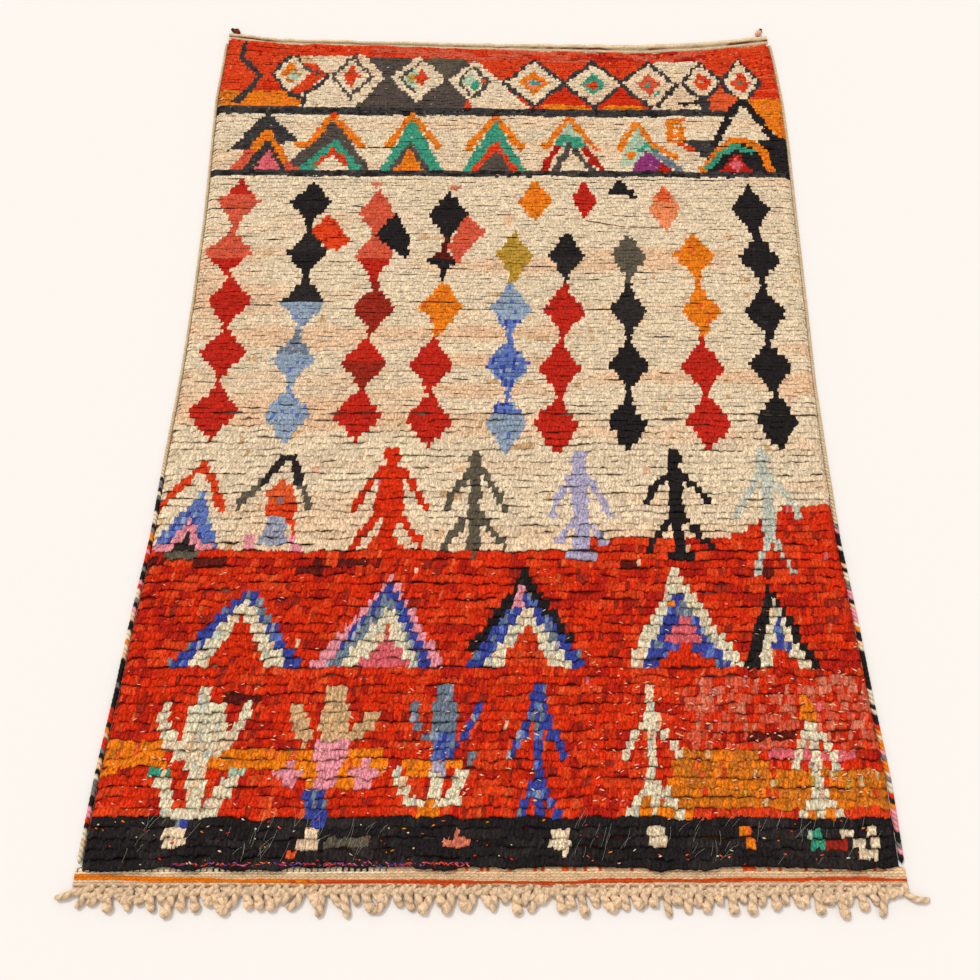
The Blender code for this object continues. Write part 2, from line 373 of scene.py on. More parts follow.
def in_lozenges(x, along, centres, half):
    near = np.zeros(x.shape, bool)
    for cx, cy in centres:
        near |= np.abs(x - cx) / half[0] + np.abs(along - cy) / half[1] <= 1.0
    return near


FAR_BAND = (
    block("scarlet", -830, -550, 2095, 2245),
    block("ochre", -830, -760, 2027, 2088),
    patch("orange", -760, 2027, -565, 2027, -565, 2055, -610, 2095, -760, 2088),
    patch("red", -680, 2135, -600, 2100, -600, 2082, -680, 2092),
    line("slate", 18, -752, 2285, -752, 2225, -690, 2150, -712, 2095, -752, 2040),
    patch("cream", -570, 2245, -390, 2250, -340, 2155, -400, 2027, -570, 2027),
    patch("scarlet", -610, 2245, -545, 2225, -500, 2165, -560, 2080, -620, 2100),
    patch("tan", -600, 2245, -550, 2245, -540, 2215, -585, 2215),
    line("plum", 16, -600, 2225, -530, 2170),
    line("slate", 14, -498, 2170, -505, 2135, -555, 2085, -560, 2030),
    line("slate", 13, -660, 2165, -608, 2248, -580, 2230),
    line("slate", 12, -655, 2160, -605, 2085, -565, 2060),
    lozenge("cream", 52, 78, -602, 2165),
    lozenge("orange", 30, 45, -605, 2170),
    lozenge("sage", 20, 26, -595, 2160),
    patch("plum", -400, 2250, -100, 2250, -60, 2140, -100, 2027, -410, 2027, -335, 2155),
    patch("moss", -215, 2250, -100, 2250, -150, 2160, -165, 2160),
    line("cream", 20, -405, 2245, -340, 2155, -400, 2055),
    lozenge("plum", 62, 100, -425, 2155),
    lozenge("cream", 48, 82, -425, 2155),
    lozenge("scarlet", 23, 56, -427, 2155),
    lozenge("cream", 78, 105, -235, 2152, -70, 2142),
    line("plum", 11, -232, 2225, -285, 2155, -245, 2095),
    lozenge("sage", 30, 45, -250, 2150),
    lozenge("mustard", 20, 24, -248, 2152),
    lozenge("scarlet", 22, 42, -225, 2155),
    lozenge("plum", 50, 80, -72, 2140),
    lozenge("cream", 38, 62, -75, 2142),
    lozenge("sage", 22, 34, -85, 2150),
    lozenge("teal", 14, 26, -68, 2125),
    lozenge("coral", 10, 15, -45, 2145),
    patch("scarlet", -60, 2250, 440, 2250, 350, 2150, 0, 2150),
    patch("red", 10, 2140, 440, 2140, 440, 2040, 120, 2040),
    patch("cream", -30, 2110, 0, 2150, 85, 2027, -85, 2027),
    lozenge("slate", 94, 118, 100, 2142, 270, 2140, 430, 2138),
    patch("orange", 130, 2048, 250, 2040, 260, 2027, 120, 2027),
    patch("orange", 300, 2048, 410, 2040, 420, 2027, 290, 2027),
    lozenge("cream", 77, 98, 100, 2145, 270, 2140, 430, 2140),
    lozenge("orange", 43, 58, 100, 2145),
    lozenge("pink", 20, 28, 100, 2142),
    lozenge("teal", 13, 18, 98, 2146),
    lozenge("teal", 36, 52, 270, 2138),
    lozenge("scarlet", 20, 24, 268, 2132),
    lozenge("coral", 34, 52, 428, 2140),
    lozenge("teal", 10, 12, 425, 2138, 452, 2095),
    patch("cream", 425, 2250, 585, 2250, 522, 2140, 610, 2022, 425, 2022, 490, 2130),
    line("ink", 7, 505, 2055, 575, 2050),
    line("ink", 7, 520, 2035, 560, 2062),
    line("slate", 13, 440, 2235, 505, 2135, 450, 2040),
    patch("scarlet", 600, 2250, 660, 2250, 640, 2170),
    lozenge("slate", 66, 96, 580, 2145),
    lozenge("cream", 52, 78, 582, 2145),
    lozenge("scarlet", 30, 44, 584, 2145),
    lozenge("tan", 8, 10, 580, 2145),
    lozenge("slate", 62, 112, 692, 2138),
    lozenge("cream", 49, 92, 692, 2138),
    lozenge("scarlet", 27, 52, 693, 2138),
    lozenge("olive", 9, 14, 690, 2140),
    patch("slate", 560, 2075, 600, 2095, 600, 2010, 575, 2010),
    block("slate", 590, 690, 2030, 1995),
    patch("tangerine", 635, 2118, 590, 2062, 603, 2012, 665, 2012, 685, 2062),
    patch("orange", 705, 2062, 840, 2062, 840, 1895, 790, 1895, 758, 1935, 718, 2020),
)

CHEVRON_BAND = (
    patch("slate", -655, 2000, -748, 1850, -640, 1870, -555, 1892),
    patch("orange", -645, 1940, -735, 1786, -550, 1786),
    patch("coral", -690, 1865, -735, 1786, -690, 1786, -670, 1850),
    patch("coral", -575, 1825, -600, 1786, -550, 1786),
    patch("slate", -642, 1900, -700, 1786, -580, 1786),
    patch("rose", -635, 1862, -668, 1786, -598, 1786),
    patch("plum", -465, 1985, -570, 1812, -550, 1786, -350, 1786),
    line("orange", 22, -555, 1878, -520, 1885, -470, 1990, -378, 1876),
    line("scarlet", 14, -468, 1985, -468, 2000),
    patch("teal", -455, 1902, -555, 1786, -370, 1786),
    patch("scarlet", -460, 1866, -512, 1798, -405, 1808),
    patch("cream", -457, 1838, -505, 1786, -402, 1786),
    line("orange", 22, -305, 1876, -245, 1990, -165, 1870),
    patch("teal", -242, 1978, -326, 1786, -152, 1786),
    patch("plum", -245, 1890, -304, 1786, -186, 1786),
    patch("orange", -243, 1866, -282, 1786, -206, 1786),
    line("orange", 22, -85, 1866, -10, 1988, 62, 1870),
    patch("teal", -10, 1978, -100, 1786, 74, 1786),
    patch("scarlet", -8, 1894, -78, 1786, 54, 1786),
    patch("plum", -5, 1864, -55, 1786, 32, 1786),
    line("orange", 20, 130, 1872, 195, 1985, 270, 1864),
    patch("sage", 195, 1975, 145, 1868, 252, 1868),
    patch("teal", 175, 1925, 150, 1868, 252, 1868, 225, 1905),
    patch("plum", 195, 1890, 146, 1786, 268, 1786),
    patch("cream", 200, 1866, 166, 1786, 244, 1786),
    line("crimson", 22, 162, 1868, 125, 1795),
    line("crimson", 22, 236, 1862, 280, 1795),
    patch("sage", 387, 1955, 345, 1862, 336, 1800, 380, 1800, 440, 1866),
    line("orange", 18, 330, 1862, 385, 1968, 425, 1882, 488, 1832),
    patch("teal", 405, 1890, 378, 1856, 446, 1858),
    lozenge("orange", 18, 20, 362, 1845),
    line("steel", 20, 432, 1848, 494, 1790),
    patch("magenta", 405, 1856, 356, 1786, 470, 1786),
    lozenge("crimson", 24, 20, 452, 1795),
    block("orange", 468, 516, 1980, 1885),
    lozenge("cream", 11, 10, 492, 1958, 492, 1932, 492, 1906),
    line("scarlet", 14, 505, 1885, 536, 1862),
    patch("slate", 505, 1897, 612, 1897, 600, 1868, 565, 1825, 540, 1868),
    patch("ink", 720, 1897, 840, 1897, 840, 1786, 710, 1786),
    patch("cream", 685, 2040, 606, 1897, 765, 1897),
    line("ink", 22, 690, 2060, 655, 2015, 600, 1890),
    line("ink", 22, 690, 2060, 716, 2010, 755, 1912, 800, 1888),
    patch("ink", 566, 1786, 610, 1862, 655, 1900, 705, 1880, 735, 1786),
    line("orange", 22, 558, 1792, 604, 1862, 655, 1902, 702, 1890, 730, 1850, 740, 1794),
    line("teal", 20, 575, 1800, 612, 1848, 655, 1880, 694, 1860),
    patch("crimson", 655, 1850, 602, 1786, 690, 1786),
    lozenge("rose", 20, 26, 650, 1808),
)

# Lozenges in chains, each chain from its far end
CHAINS = (
    (
        link(-695, 1670, 57, 80, "madder", "coral", 30),
        link(-700, 1500, 62, 78, "coral", "madder", -20),
        link(-680, 1345, 60, 78, "madder"),
        link(-675, 1190, 60, 76, "madder"),
        link(-675, 1020, 62, 78, "madder"),
    ),
    (
        link(-500, 1670, 57, 80, "ink"),
        link(-495, 1500, 55, 78, "char", "ink"),
        link(-490, 1340, 58, 80, "char", "sky"),
        link(-500, 1170, 56, 76, "steel", "sky", 20),
        link(-500, 1015, 58, 78, "sky"),
    ),
    (
        link(-320, 1635, 50, 82, "coral"),
        link(-320, 1490, 52, 80, "coral", "madder", -10),
        link(-310, 1325, 55, 76, "brick"),
        link(-325, 1160, 56, 76, "madder", "brick"),
        link(-330, 1015, 57, 78, "madder"),
    ),
    (
        link(-130, 1625, 54, 84, "ink"),
        link(-140, 1475, 42, 34, "maroon", "ink"),
        link(-140, 1330, 56, 80, "orange"),
        link(-160, 1155, 56, 78, "madder"),
        link(-160, 1000, 56, 78, "madder"),
    ),
    (
        link(45, 1495, 48, 76, "mustard"),
        link(35, 1325, 55, 80, "sky", "blue", -30),
        link(30, 1155, 55, 78, "blue"),
        link(25, 990, 55, 78, "blue", "sky", 30),
    ),
    (
        link(180, 1495, 48, 76, "ink", "char"),
        link(170, 1320, 55, 78, "madder"),
        link(155, 1145, 55, 78, "madder"),
        link(145, 990, 55, 78, "madder"),
    ),
    (
        link(340, 1490, 48, 78, "moss"),
        link(330, 1320, 48, 76, "char"),
        link(325, 1155, 50, 76, "ink"),
        link(315, 990, 50, 78, "ink"),
    ),
    (
        link(510, 1495, 54, 78, "orange"),
        link(515, 1320, 50, 80, "orange"),
        link(505, 1150, 55, 76, "madder"),
        link(505, 995, 55, 78, "madder"),
    ),
    (
        link(672, 1650, 52, 88, "ink"),
        link(680, 1490, 54, 80, "ink"),
        link(675, 1315, 54, 80, "ink"),
        link(670, 1155, 54, 78, "ink"),
        link(670, 1000, 54, 78, "ink"),
    ),
)
NECK_WIDTH = 0.015

# Lozenges and marks beside the chains
LOOSE_MARKS = (
    patch("scarlet", -450, 1635, -378, 1535, -425, 1500, -495, 1570),
    patch("ink", -272, 1640, -232, 1545, -230, 1470, -320, 1555),
    patch("coral", -85, 1625, -30, 1575, -105, 1465, -130, 1520),
    lozenge("peach", 20, 30, 30, 1610),
    lozenge("orange", 47, 74, 100, 1675),
    lozenge("madder", 32, 70, 230, 1680),
    patch("ink", 327, 1754, 298, 1714, 298, 1694, 334, 1702, 368, 1690, 368, 1708, 350, 1732),
    lozenge("apricot", 44, 82, 445, 1655),
    lozenge("tangerine", 22, 30, 442, 1700),
    lozenge("salmon", 12, 12, -330, 1735, -115, 1725),
)

# Little figures, in metres: heights along the rug, then how far the arms and legs reach to each side
FIGURE_COLUMNS = ("yarn", "x", "top", "shoulder", "hand", "hip", "heel", "foot", "arm", "leg", "girth")
FIGURES = (
    ("red", -0.240, 0.905, 0.872, 0.765, 0.760, 0.675, 0.655, 0.082, 0.076, 0.034),
    ("moss", -0.045, 0.905, 0.868, 0.760, 0.752, 0.672, 0.655, 0.070, 0.068, 0.026),
    ("lavender", 0.195, 0.905, 0.858, 0.752, 0.738, 0.678, 0.655, 0.066, 0.056, 0.034),
    ("ink", 0.415, 0.905, 0.858, 0.776, 0.745, 0.672, 0.655, 0.075, 0.070, 0.026),
    ("royal", 0.094, 0.345, 0.285, 0.205, 0.160, 0.095, 0.095, 0.058, 0.040, 0.020),
    ("ivory", 0.325, 0.350, 0.282, 0.205, 0.158, 0.098, 0.098, 0.058, 0.048, 0.018),
    ("ivory", 0.655, 0.275, 0.272, 0.190, 0.138, 0.098, 0.098, 0.045, 0.040, 0.022),
    ("ash", 0.620, 0.905, 0.850, 0.750, 0.690, 0.615, 0.680, 0.070, 0.040, 0.028),
)
LIMB_WIDTH = 0.015
FOOT_RISE = 0.010

FIGURE_ROW = (
    line("scarlet", 17, -765, 775, -675, 882, -620, 768),
    patch("blue", -672, 815, -775, 668, -620, 668),
    patch("pink", -690, 750, -745, 655, -640, 655),
    patch("pink", -790, 678, -700, 690, -700, 655, -790, 655),
    patch("pink", -660, 680, -625, 672, -625, 655, -660, 655),
    patch("char", -690, 715, -722, 655, -668, 655),
    line("moss", 12, -735, 650, -660, 650),
    line("moss", 18, -590, 775, -535, 835),
    line("moss", 18, -452, 830, -425, 770),
    line("char", 20, -535, 838, -490, 895, -470, 895, -450, 830),
    lozenge("tangerine", 36, 56, -490, 792),
    patch("scarlet", -525, 770, -452, 770, -450, 700, -480, 742, -525, 738),
    lozenge("steel", 10, 10, -492, 790),
    patch("haze", -515, 748, -475, 748, -468, 700, -445, 660, -548, 660, -520, 705),
    line("cream", 16, -530, 672, -465, 676),
    patch("pink", -560, 690, -528, 700, -545, 658, -568, 658),
    patch("pink", -470, 700, -448, 690, -425, 658, -455, 668),
    patch("red", -270, 850, -212, 850, -205, 760, -275, 760),
    patch("scarlet", -245, 715, -300, 655, -185, 655),
    line("lavender", 30, 172, 655, 215, 655),
    line("royal", 18, 238, 705, 252, 685),
    line("ink", 34, 415, 838, 415, 755),
    line("ink", 16, 392, 658, 440, 658),
)

# The stepped edge where the red field begins, which rises to the right
RED_EDGE = (
    (-0.83, 0.664), (-0.70, 0.655), (-0.40, 0.655), (-0.19, 0.664), (0.176, 0.664), (0.178, 0.686),
    (0.36, 0.694), (0.50, 0.694), (0.52, 0.700), (0.56, 0.714), (0.60, 0.740), (0.645, 0.752),
    (0.66, 0.772), (0.83, 0.768),
)
BLACK_BAND_STOP = 0.093
BLACK_BAND_WAVE = 0.004

# Bands and fields beyond the red one, over the cream
FIELD_COLUMNS = ("yarn", "left", "right", "start", "stop")
FIELDS = (
    ("slate", -0.84, 0.84, 1.759, 1.786),
    ("slate", -0.84, 0.60, 1.995, 2.027),
    ("scarlet", -0.84, 0.60, 2.027, 2.340),
    ("scarlet", 0.60, 0.84, 2.062, 2.340),
)

# Runs of another yarn in the plain fields: where, on which yarn, how long and deep, and how rare
RUN_COLUMNS = ("on", "yarn", "left", "right", "start", "stop", "length", "depth", "above", "seed")
GROUND_RUNS = (
    ("cream", "blush", -0.84, 0.84, 0.655, 1.560, 0.070, 0.0120, 0.95, 31.0),
    ("cream", "tan", -0.84, 0.84, 0.655, 1.560, 0.040, 0.0090, 0.88, 32.0),
    ("slate", "plum", -0.84, 0.84, 1.700, 2.100, 0.014, 0.0110, 0.70, 34.0),
    ("slate", "ink", -0.84, 0.84, 1.700, 2.100, 0.014, 0.0110, 0.30, 35.0),
    ("scarlet", "coral", -0.375, 0.60, 2.235, 2.299, 0.060, 0.0110, 0.05, 36.0),
    ("scarlet", "crimson", 0.18, 0.60, 2.245, 2.299, 0.040, 0.0110, 0.00, 37.0),
    ("scarlet", "red", -0.84, 0.84, 2.027, 2.299, 0.060, 0.0110, 0.10, 38.0),
    ("scarlet", "tangerine", -0.84, 0.84, 2.027, 2.299, 0.060, 0.0110, 0.50, 39.0),
    ("red", "salmon", 0.420, 0.790, 0.225, 0.385, 0.011, 0.0110, 0.42, 40.0),
    ("red", "coral", 0.400, 0.790, 0.225, 0.385, 0.013, 0.0120, 0.05, 41.0),
    ("red", "crimson", -0.84, 0.84, 0.090, 0.770, 0.024, 0.0150, 0.42, 42.0),
    ("red", "scarlet", -0.84, 0.84, 0.090, 0.770, 0.030, 0.0150, 0.20, 43.0),
    ("red", "brick", -0.84, 0.84, 0.090, 0.770, 0.018, 0.0150, 0.62, 44.0),
    ("red", "maroon", -0.84, 0.84, 0.610, 0.640, 0.100, 0.0400, 0.25, 45.0),
    ("ink", "char", -0.84, 0.84, 0.000, 0.100, 0.050, 0.0200, 0.25, 46.0),
)

# Single knots of other yarns in each yarn, as shares of its knots
FLECKS = {
    "red": {"peach": 0.003, "rose": 0.002, "tangerine": 0.014, "brick": 0.030},
    "scarlet": {"crimson": 0.030, "tangerine": 0.030},
    "cream": {"tan": 0.002},
    "slate": {"plum": 0.060},
    "ink": {"char": 0.040},
    "ochre": {"orange": 0.220, "mustard": 0.060, "tan": 0.040, "scarlet": 0.050},
    "orange": {"tangerine": 0.050, "ochre": 0.120},
    "ivory": {"peach": 0.030, "cream": 0.200, "ash": 0.080},
    "teal": {"steel": 0.020, "sage": 0.010},
    "royal": {"steel": 0.120, "blue": 0.120},
    "blue": {"royal": 0.140, "sky": 0.140},
    "sky": {"blue": 0.050},
    "steel": {"haze": 0.200},
}

RED_CHEVRONS = (
    patch("royal", -532, 580, -690, 405, -410, 405),
    patch("steel", -520, 560, -490, 520, -470, 470, -510, 520),
    patch("ivory", -536, 552, -650, 405, -440, 405),
    patch("red", -540, 508, -605, 405, -485, 405),
    patch("pink", -222, 605, -385, 405, -105, 405),
    patch("royal", -225, 592, -352, 405, -130, 405),
    patch("steel", -228, 558, -352, 405, -290, 405, -200, 520),
    patch("ivory", -226, 535, -320, 405, -155, 405),
    line("steel", 13, -262, 510, -195, 512),
    patch("rose", -225, 468, -285, 405, -180, 405),
    lozenge("tangerine", 12, 12, -230, 488),
    patch("ink", 70, 625, -50, 440, -10, 405, 150, 405, 175, 455),
    patch("red", 70, 400, -60, 400, -60, 430, 0, 430),
    patch("royal", 66, 575, -55, 405, 198, 405),
    patch("pink", 52, 578, 40, 540, 66, 535, 70, 578),
    patch("ivory", 70, 535, -15, 405, 165, 405),
    patch("scarlet", 74, 498, 20, 405, 118, 405),
    patch("ivory", 400, 625, 290, 405, 530, 405),
    patch("royal", 400, 575, 318, 405, 502, 405),
    patch("orange", 392, 560, 370, 520, 400, 520),
    patch("steel", 410, 545, 385, 505, 442, 505),
    patch("rose", 412, 520, 362, 448, 458, 448),
    patch("red", 412, 455, 350, 405, 472, 405),
    line("ivory", 30, 308, 415, 345, 490),
    patch("ink", 602, 585, 532, 405, 688, 405),
    patch("ivory", 606, 548, 560, 405, 668, 405),
    patch("red", 612, 455, 588, 405, 642, 405),
    patch("royal", 612, 510, 594, 440, 634, 440),
)

PLANT_ROW = (
    patch("orange", -840, 247, -668, 247, -660, 190, -755, 188, -760, 166, -840, 166),
    line("orange", 30, -580, 204, -225, 204),
    patch("orange", -430, 197, -225, 197, -215, 178, -270, 152, -400, 160),
    patch("orange", -195, 208, -60, 208, -60, 180, -170, 176),
    line("scarlet", 20, -800, 104, -690, 104),
    patch("maroon", -580, 345, -500, 340, -470, 322, -560, 322),
    patch("ivory", -616, 355, -584, 355, -584, 325, -550, 322, -550, 230, -578, 205, -576, 155, -614, 155,
         -622, 205, -652, 225, -632, 270, -632, 322, -616, 325),
    line("ivory", 30, -680, 298, -660, 240, -625, 216),
    line("ivory", 22, -508, 302, -540, 240, -580, 214),
    line("teal", 18, -690, 184, -660, 184),
    line("ivory", 26, -665, 165, -645, 118),
    line("sage", 20, -528, 186, -505, 186),
    line("ivory", 26, -522, 165, -556, 122),
    line("ivory", 34, -595, 148, -595, 116),
    line("ivory", 20, -645, 103, -552, 103),
    patch("tan", -352, 352, -308, 352, -285, 240, -355, 240),
    line("ink", 12, -322, 362, -290, 360),
    line("tan", 36, -405, 300, -385, 252),
    line("tan", 30, -250, 292, -285, 252),
    patch("pink", -360, 240, -288, 240, -310, 157, -356, 157),
    lozenge("pink", 36, 28, -408, 174, -256, 174),
    patch("royal", -380, 140, -328, 140, -326, 82, -360, 80, -376, 110),
    patch("steel", -115, 362, -88, 362, -72, 300, -72, 250, -128, 250, -122, 320),
    patch("blue", -130, 265, -74, 260, -80, 212, -120, 212),
    line("lavender", 28, -108, 200, -108, 178),
    line("steel", 14, -168, 318, -150, 275, -132, 245),
    line("royal", 16, -28, 308, -52, 262, -80, 228),
    line("steel", 14, -38, 218, -50, 186),
    line("ivory", 34, -112, 170, -112, 135),
    line("ivory", 20, -188, 176, -172, 130),
    line("ivory", 24, -62, 172, -75, 135),
    line("ivory", 14, -168, 126, -62, 126),
    lozenge("orange", 24, 22, -125, 106),
    patch("ochre", 372, 222, 538, 216, 560, 194, 840, 190, 840, 114, 290, 112, 350, 160),
    line("scarlet", 20, 410, 104, 840, 104),
    line("orange", 16, 300, 104, 390, 104),
    line("orange", 16, 620, 104, 690, 104),
    patch("maroon", 528, 272, 628, 266, 622, 246, 528, 248),
    patch("rose", 545, 234, 748, 234, 740, 212, 560, 214),
    patch("royal", 76, 332, 112, 332, 124, 278, 66, 278),
    line("steel", 20, 94, 350, 102, 350),
    patch("royal", 94, 200, 66, 132, 124, 132),
    patch("ivory", 325, 350, 306, 278, 346, 278),
    patch("ivory", 325, 185, 292, 138, 362, 138),
    lozenge("orange", 20, 52, 648, 300),
    patch("ivory", 655, 165, 628, 128, 684, 128),
)

BLACK_BAND = (
    block("royal", -628, -595, 95, 76),
    patch("cream", -650, 62, -625, 76, -596, 72, -598, 44, -640, 38),
    patch("cream", -385, 82, -338, 82, -345, 58, -336, 38, -385, 38, -370, 60),
    line("tangerine", 14, -392, 30, -378, 36),
    patch("moss", -328, 62, -235, 60, -235, 38, -328, 38),
    patch("salmon", -95, 50, -55, 78, -60, 55, -35, 46, -50, 26, -90, 30),
    patch("cream", 118, 72, 158, 72, 150, 50, 176, 36, 140, 24, 108, 46),
    patch("cream", 300, 74, 346, 74, 340, 52, 362, 34, 300, 28, 316, 52),
    patch("orange", 482, 72, 518, 72, 508, 52, 532, 32, 492, 30, 496, 50),
    patch("teal", 612, 72, 650, 72, 640, 50, 672, 30, 620, 28, 628, 50),
    line("cream", 18, 690, 70, 722, 44, 730, 22),
    line("cream", 18, 752, 72, 748, 46, 738, 22),
    line("brick", 8, 655, 44, 690, 44),
)

# How unevenly the motifs' edges run, the peach cast over the cream and the stretch where it is full, and
# the unevenness of the dye
MOTIF_RAGGEDNESS = 0.0040
JAG_LENGTH = 0.024
BLUSH_STRENGTH = 0.85
BLUSH_STARTS = (0.85, 1.00)
BLUSH_STOPS = (1.52, 1.62)
BLUSH_BEYOND = 0.55
KNOT_SHADE = 0.20
CLOUD_SHADE = 0.07


# The chart: which yarn each knot is tied in

def paint(yarns, x, along, motifs):
    """Paints motifs over what is there."""
    for inside, yarn, size, spots in motifs:
        yarns[inside(x, along, spots, size)] = YARN_CODE[yarn]


def within(x, along, area):
    return (x >= area["left"]) & (x < area["right"]) & (along > area["start"]) & (along < area["stop"])


def ground_yarns(x, along):
    """The plain fields under the motifs, with the runs of other yarns in them."""
    yarns = np.full(x.shape, YARN_CODE["cream"])
    yarns[along < np.interp(x, *np.transpose(RED_EDGE))] = YARN_CODE["red"]
    yarns[along <= BLACK_BAND_STOP + BLACK_BAND_WAVE * soft_noise(x * 9.0, 0.0, 2.0)] = YARN_CODE["ink"]
    for field in as_rows(FIELD_COLUMNS, FIELDS):
        yarns[within(x, along, field)] = YARN_CODE[field["yarn"]]
    for run in as_rows(RUN_COLUMNS, GROUND_RUNS):
        drawn = soft_noise(x / run["length"], along / run["depth"], run["seed"]) > run["above"]
        yarns[within(x, along, run) & drawn & (yarns == YARN_CODE[run["on"]])] = YARN_CODE[run["yarn"]]
    return yarns


def paint_chains(yarns, x, along):
    """Lozenges in chains, joined by narrow necks."""
    for chain in CHAINS:
        for upper, lower in zip(chain, chain[1:]):
            neck = on_line(x, along, (upper["centre"], lower["centre"]), NECK_WIDTH)
            above = along > (upper["centre"][1] + lower["centre"][1]) / 2.0
            yarns[neck & above] = YARN_CODE[upper["lower"]]
            yarns[neck & ~above] = YARN_CODE[lower["upper"]]
        for each in chain:
            inside, yarn, half, centres = each["shape"]
            above = along > each["centre"][1] + each["split"]
            mask = inside(x, along, centres, half)
            yarns[mask & above] = YARN_CODE[yarn]
            yarns[mask & ~above] = YARN_CODE[each["lower"]]


def paint_figures(yarns, x, along):
    """Little standing figures: a tall body, two bent arms and two legs."""
    for figure in as_rows(FIGURE_COLUMNS, FIGURES):
        middle = figure["x"]
        body = ((middle, figure["top"]), (middle, figure["foot"] + FOOT_RISE))
        drawn = on_line(x, along, body, figure["girth"])
        for side in (-1.0, 1.0):
            arm = (
                (middle + side * 0.2 * figure["arm"], figure["shoulder"]),
                (middle + side * 0.7 * figure["arm"], 0.45 * figure["shoulder"] + 0.55 * figure["hand"]),
                (middle + side * figure["arm"], figure["hand"]),
            )
            leg = (
                (middle + side * 0.2 * figure["leg"], figure["hip"]),
                (middle + side * figure["leg"], figure["heel"]),
            )
            drawn |= on_line(x, along, arm, LIMB_WIDTH) | on_line(x, along, leg, LIMB_WIDTH)
        yarns[drawn] = YARN_CODE[figure["yarn"]]


def chart(x, along):
    x, along = np.broadcast_arrays(x, along)
    yarns = ground_yarns(x, along)
    paint(yarns, x, along, FAR_BAND)
    paint(yarns, x, along, CHEVRON_BAND)
    paint_chains(yarns, x, along)
    for motifs in (LOOSE_MARKS, RED_CHEVRONS, PLANT_ROW, FIGURE_ROW):
        paint(yarns, x, along, motifs)
    paint_figures(yarns, x, along)
    paint(yarns, x, along, BLACK_BAND)
    return yarns


def fleck(yarns, number, row):
    """Ties single knots of another yarn here and there."""
    seed = 20.0
    for on, others in FLECKS.items():
        for yarn, share in others.items():
            drawn = hashed(number, row, seed) < share
            yarns[drawn & (yarns == YARN_CODE[on])] = YARN_CODE[yarn]
            seed += 1.0


def knot_colours(x, along, row):
    """Colour of each knot, with the uneven dye of hand-spun yarn."""
    number = np.arange(x.size)
    jag = hashed(np.floor(x / JAG_LENGTH), row, 19.0) - 0.5
    ragged = MOTIF_RAGGEDNESS * (0.8 * soft_noise(x * 60.0, row * 5.7, 18.0) + 1.7 * jag)
    ragged = ragged * (0.4 + 0.6 * smooth_step(0.6, 1.1, along))
    yarns = chart(x + ragged, along)
    fleck(yarns, number, row)
    colours = YARN_COLOURS[yarns]
    cloud = soft_noise(x * 2.4, along * 24.0, 6.0) + 0.25 * soft_noise(x * 14.0, along * 60.0, 7.0)
    middle = smooth_step(*BLUSH_STARTS, along) * (1.0 - smooth_step(*BLUSH_STOPS, along))
    blush = BLUSH_STRENGTH * smooth_step(-0.1, 0.8, cloud)
    blush = blush * (BLUSH_BEYOND + (1.0 - BLUSH_BEYOND) * middle)
    blush = np.where(yarns == YARN_CODE["cream"], blush, 0.0)[..., None]
    colours = colours * (1.0 - blush) + dye_of("peach") * blush
    shade = 1.0 + KNOT_SHADE * (hashed(number, row, 3.0) - 0.5)
    shade = shade + CLOUD_SHADE * soft_noise(x * 9.0, along * 70.0, 5.0)
    return colours * shade[..., None]


# Meshes

def finished_mesh(name, points, faces, colours, material):
    """One mesh from points, four-cornered faces and a colour for every face corner."""
    mesh = bpy.data.meshes.new(name)
    mesh.vertices.add(len(points))
    mesh.vertices.foreach_set("co", np.ascontiguousarray(points + np.array(SHIFT), np.float32).ravel())
    mesh.loops.add(faces.size)
    mesh.loops.foreach_set("vertex_index", faces.ravel().astype(np.int32))
    mesh.polygons.add(len(faces))
    mesh.polygons.foreach_set("loop_start", np.arange(0, faces.size, 4, dtype=np.int32))
    mesh.update(calc_edges=True)
    mesh.polygons.foreach_set("use_smooth", np.ones(len(faces), bool))
    # The colour attribute holds each face corner's yarn colour with painted shade and painted light
    # multiplied in.
    dye_and_shade = mesh.color_attributes.new("dye_and_shade", "FLOAT_COLOR", "CORNER")
    rgba = np.concatenate([np.clip(colours, 0.0, 1.0), np.ones((*colours.shape[:-1], 1))], axis=-1)
    dye_and_shade.data.foreach_set("color", rgba.astype(np.float32).ravel())
    mesh.materials.append(material)
    made = bpy.data.objects.new(name, mesh)
    bpy.context.scene.collection.objects.link(made)
    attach(made, "root")
    return made


def lattice_faces(rows, columns, first=0, closed=False):
    """Corners of the faces of a grid of points. A closed grid joins its last column to its first."""
    row = first + np.arange(rows - 1)[:, None] * columns
    column = np.arange(columns if closed else columns - 1)[None, :]
    beside = (column + 1) % columns
    return np.stack([row + column, row + beside, row + beside + columns, row + column + columns], axis=-1)


def at_corners(values):
    """Values at a grid of points, gathered for the four corners of each of its faces."""
    return np.stack([values[:-1, :-1], values[:-1, 1:], values[1:, 1:], values[1:, :-1]], axis=2)


def pile_height(x, along, across, crest):
    """Height of the pile's tips, with broad swells, the folding crease and the rounded rims."""
    near_crease, far_crease = CREASE_AT
    crease = far_crease + (near_crease - far_crease) * (1.0 - along / PILE_LENGTH)
    fold = np.clip(1.0 - np.abs(across - crease) * HALF_CLOTH / CREASE_HALF_WIDTH, 0.0, 1.0)
    left, right = cloth_sides(along)
    rim = smooth_step(0.0, RIM_WIDTH, np.minimum(x - left, right - x))
    swell = PILE_UNEVENNESS * solid_noise(x, along, *SWELL_SCALES)
    return PILE_EDGE_HEIGHT + (crest + swell - CREASE_DEPTH * fold - PILE_EDGE_HEIGHT) * rim


def wander(x, along):
    held = smooth_step(0.0, STRAIGHT_ENDS, along)
    held = held * (1.0 - smooth_step(PILE_LENGTH - STRAIGHT_ENDS, PILE_LENGTH, along))
    return ROW_WANDER * held * solid_noise(x, along, *WANDER_SCALES)


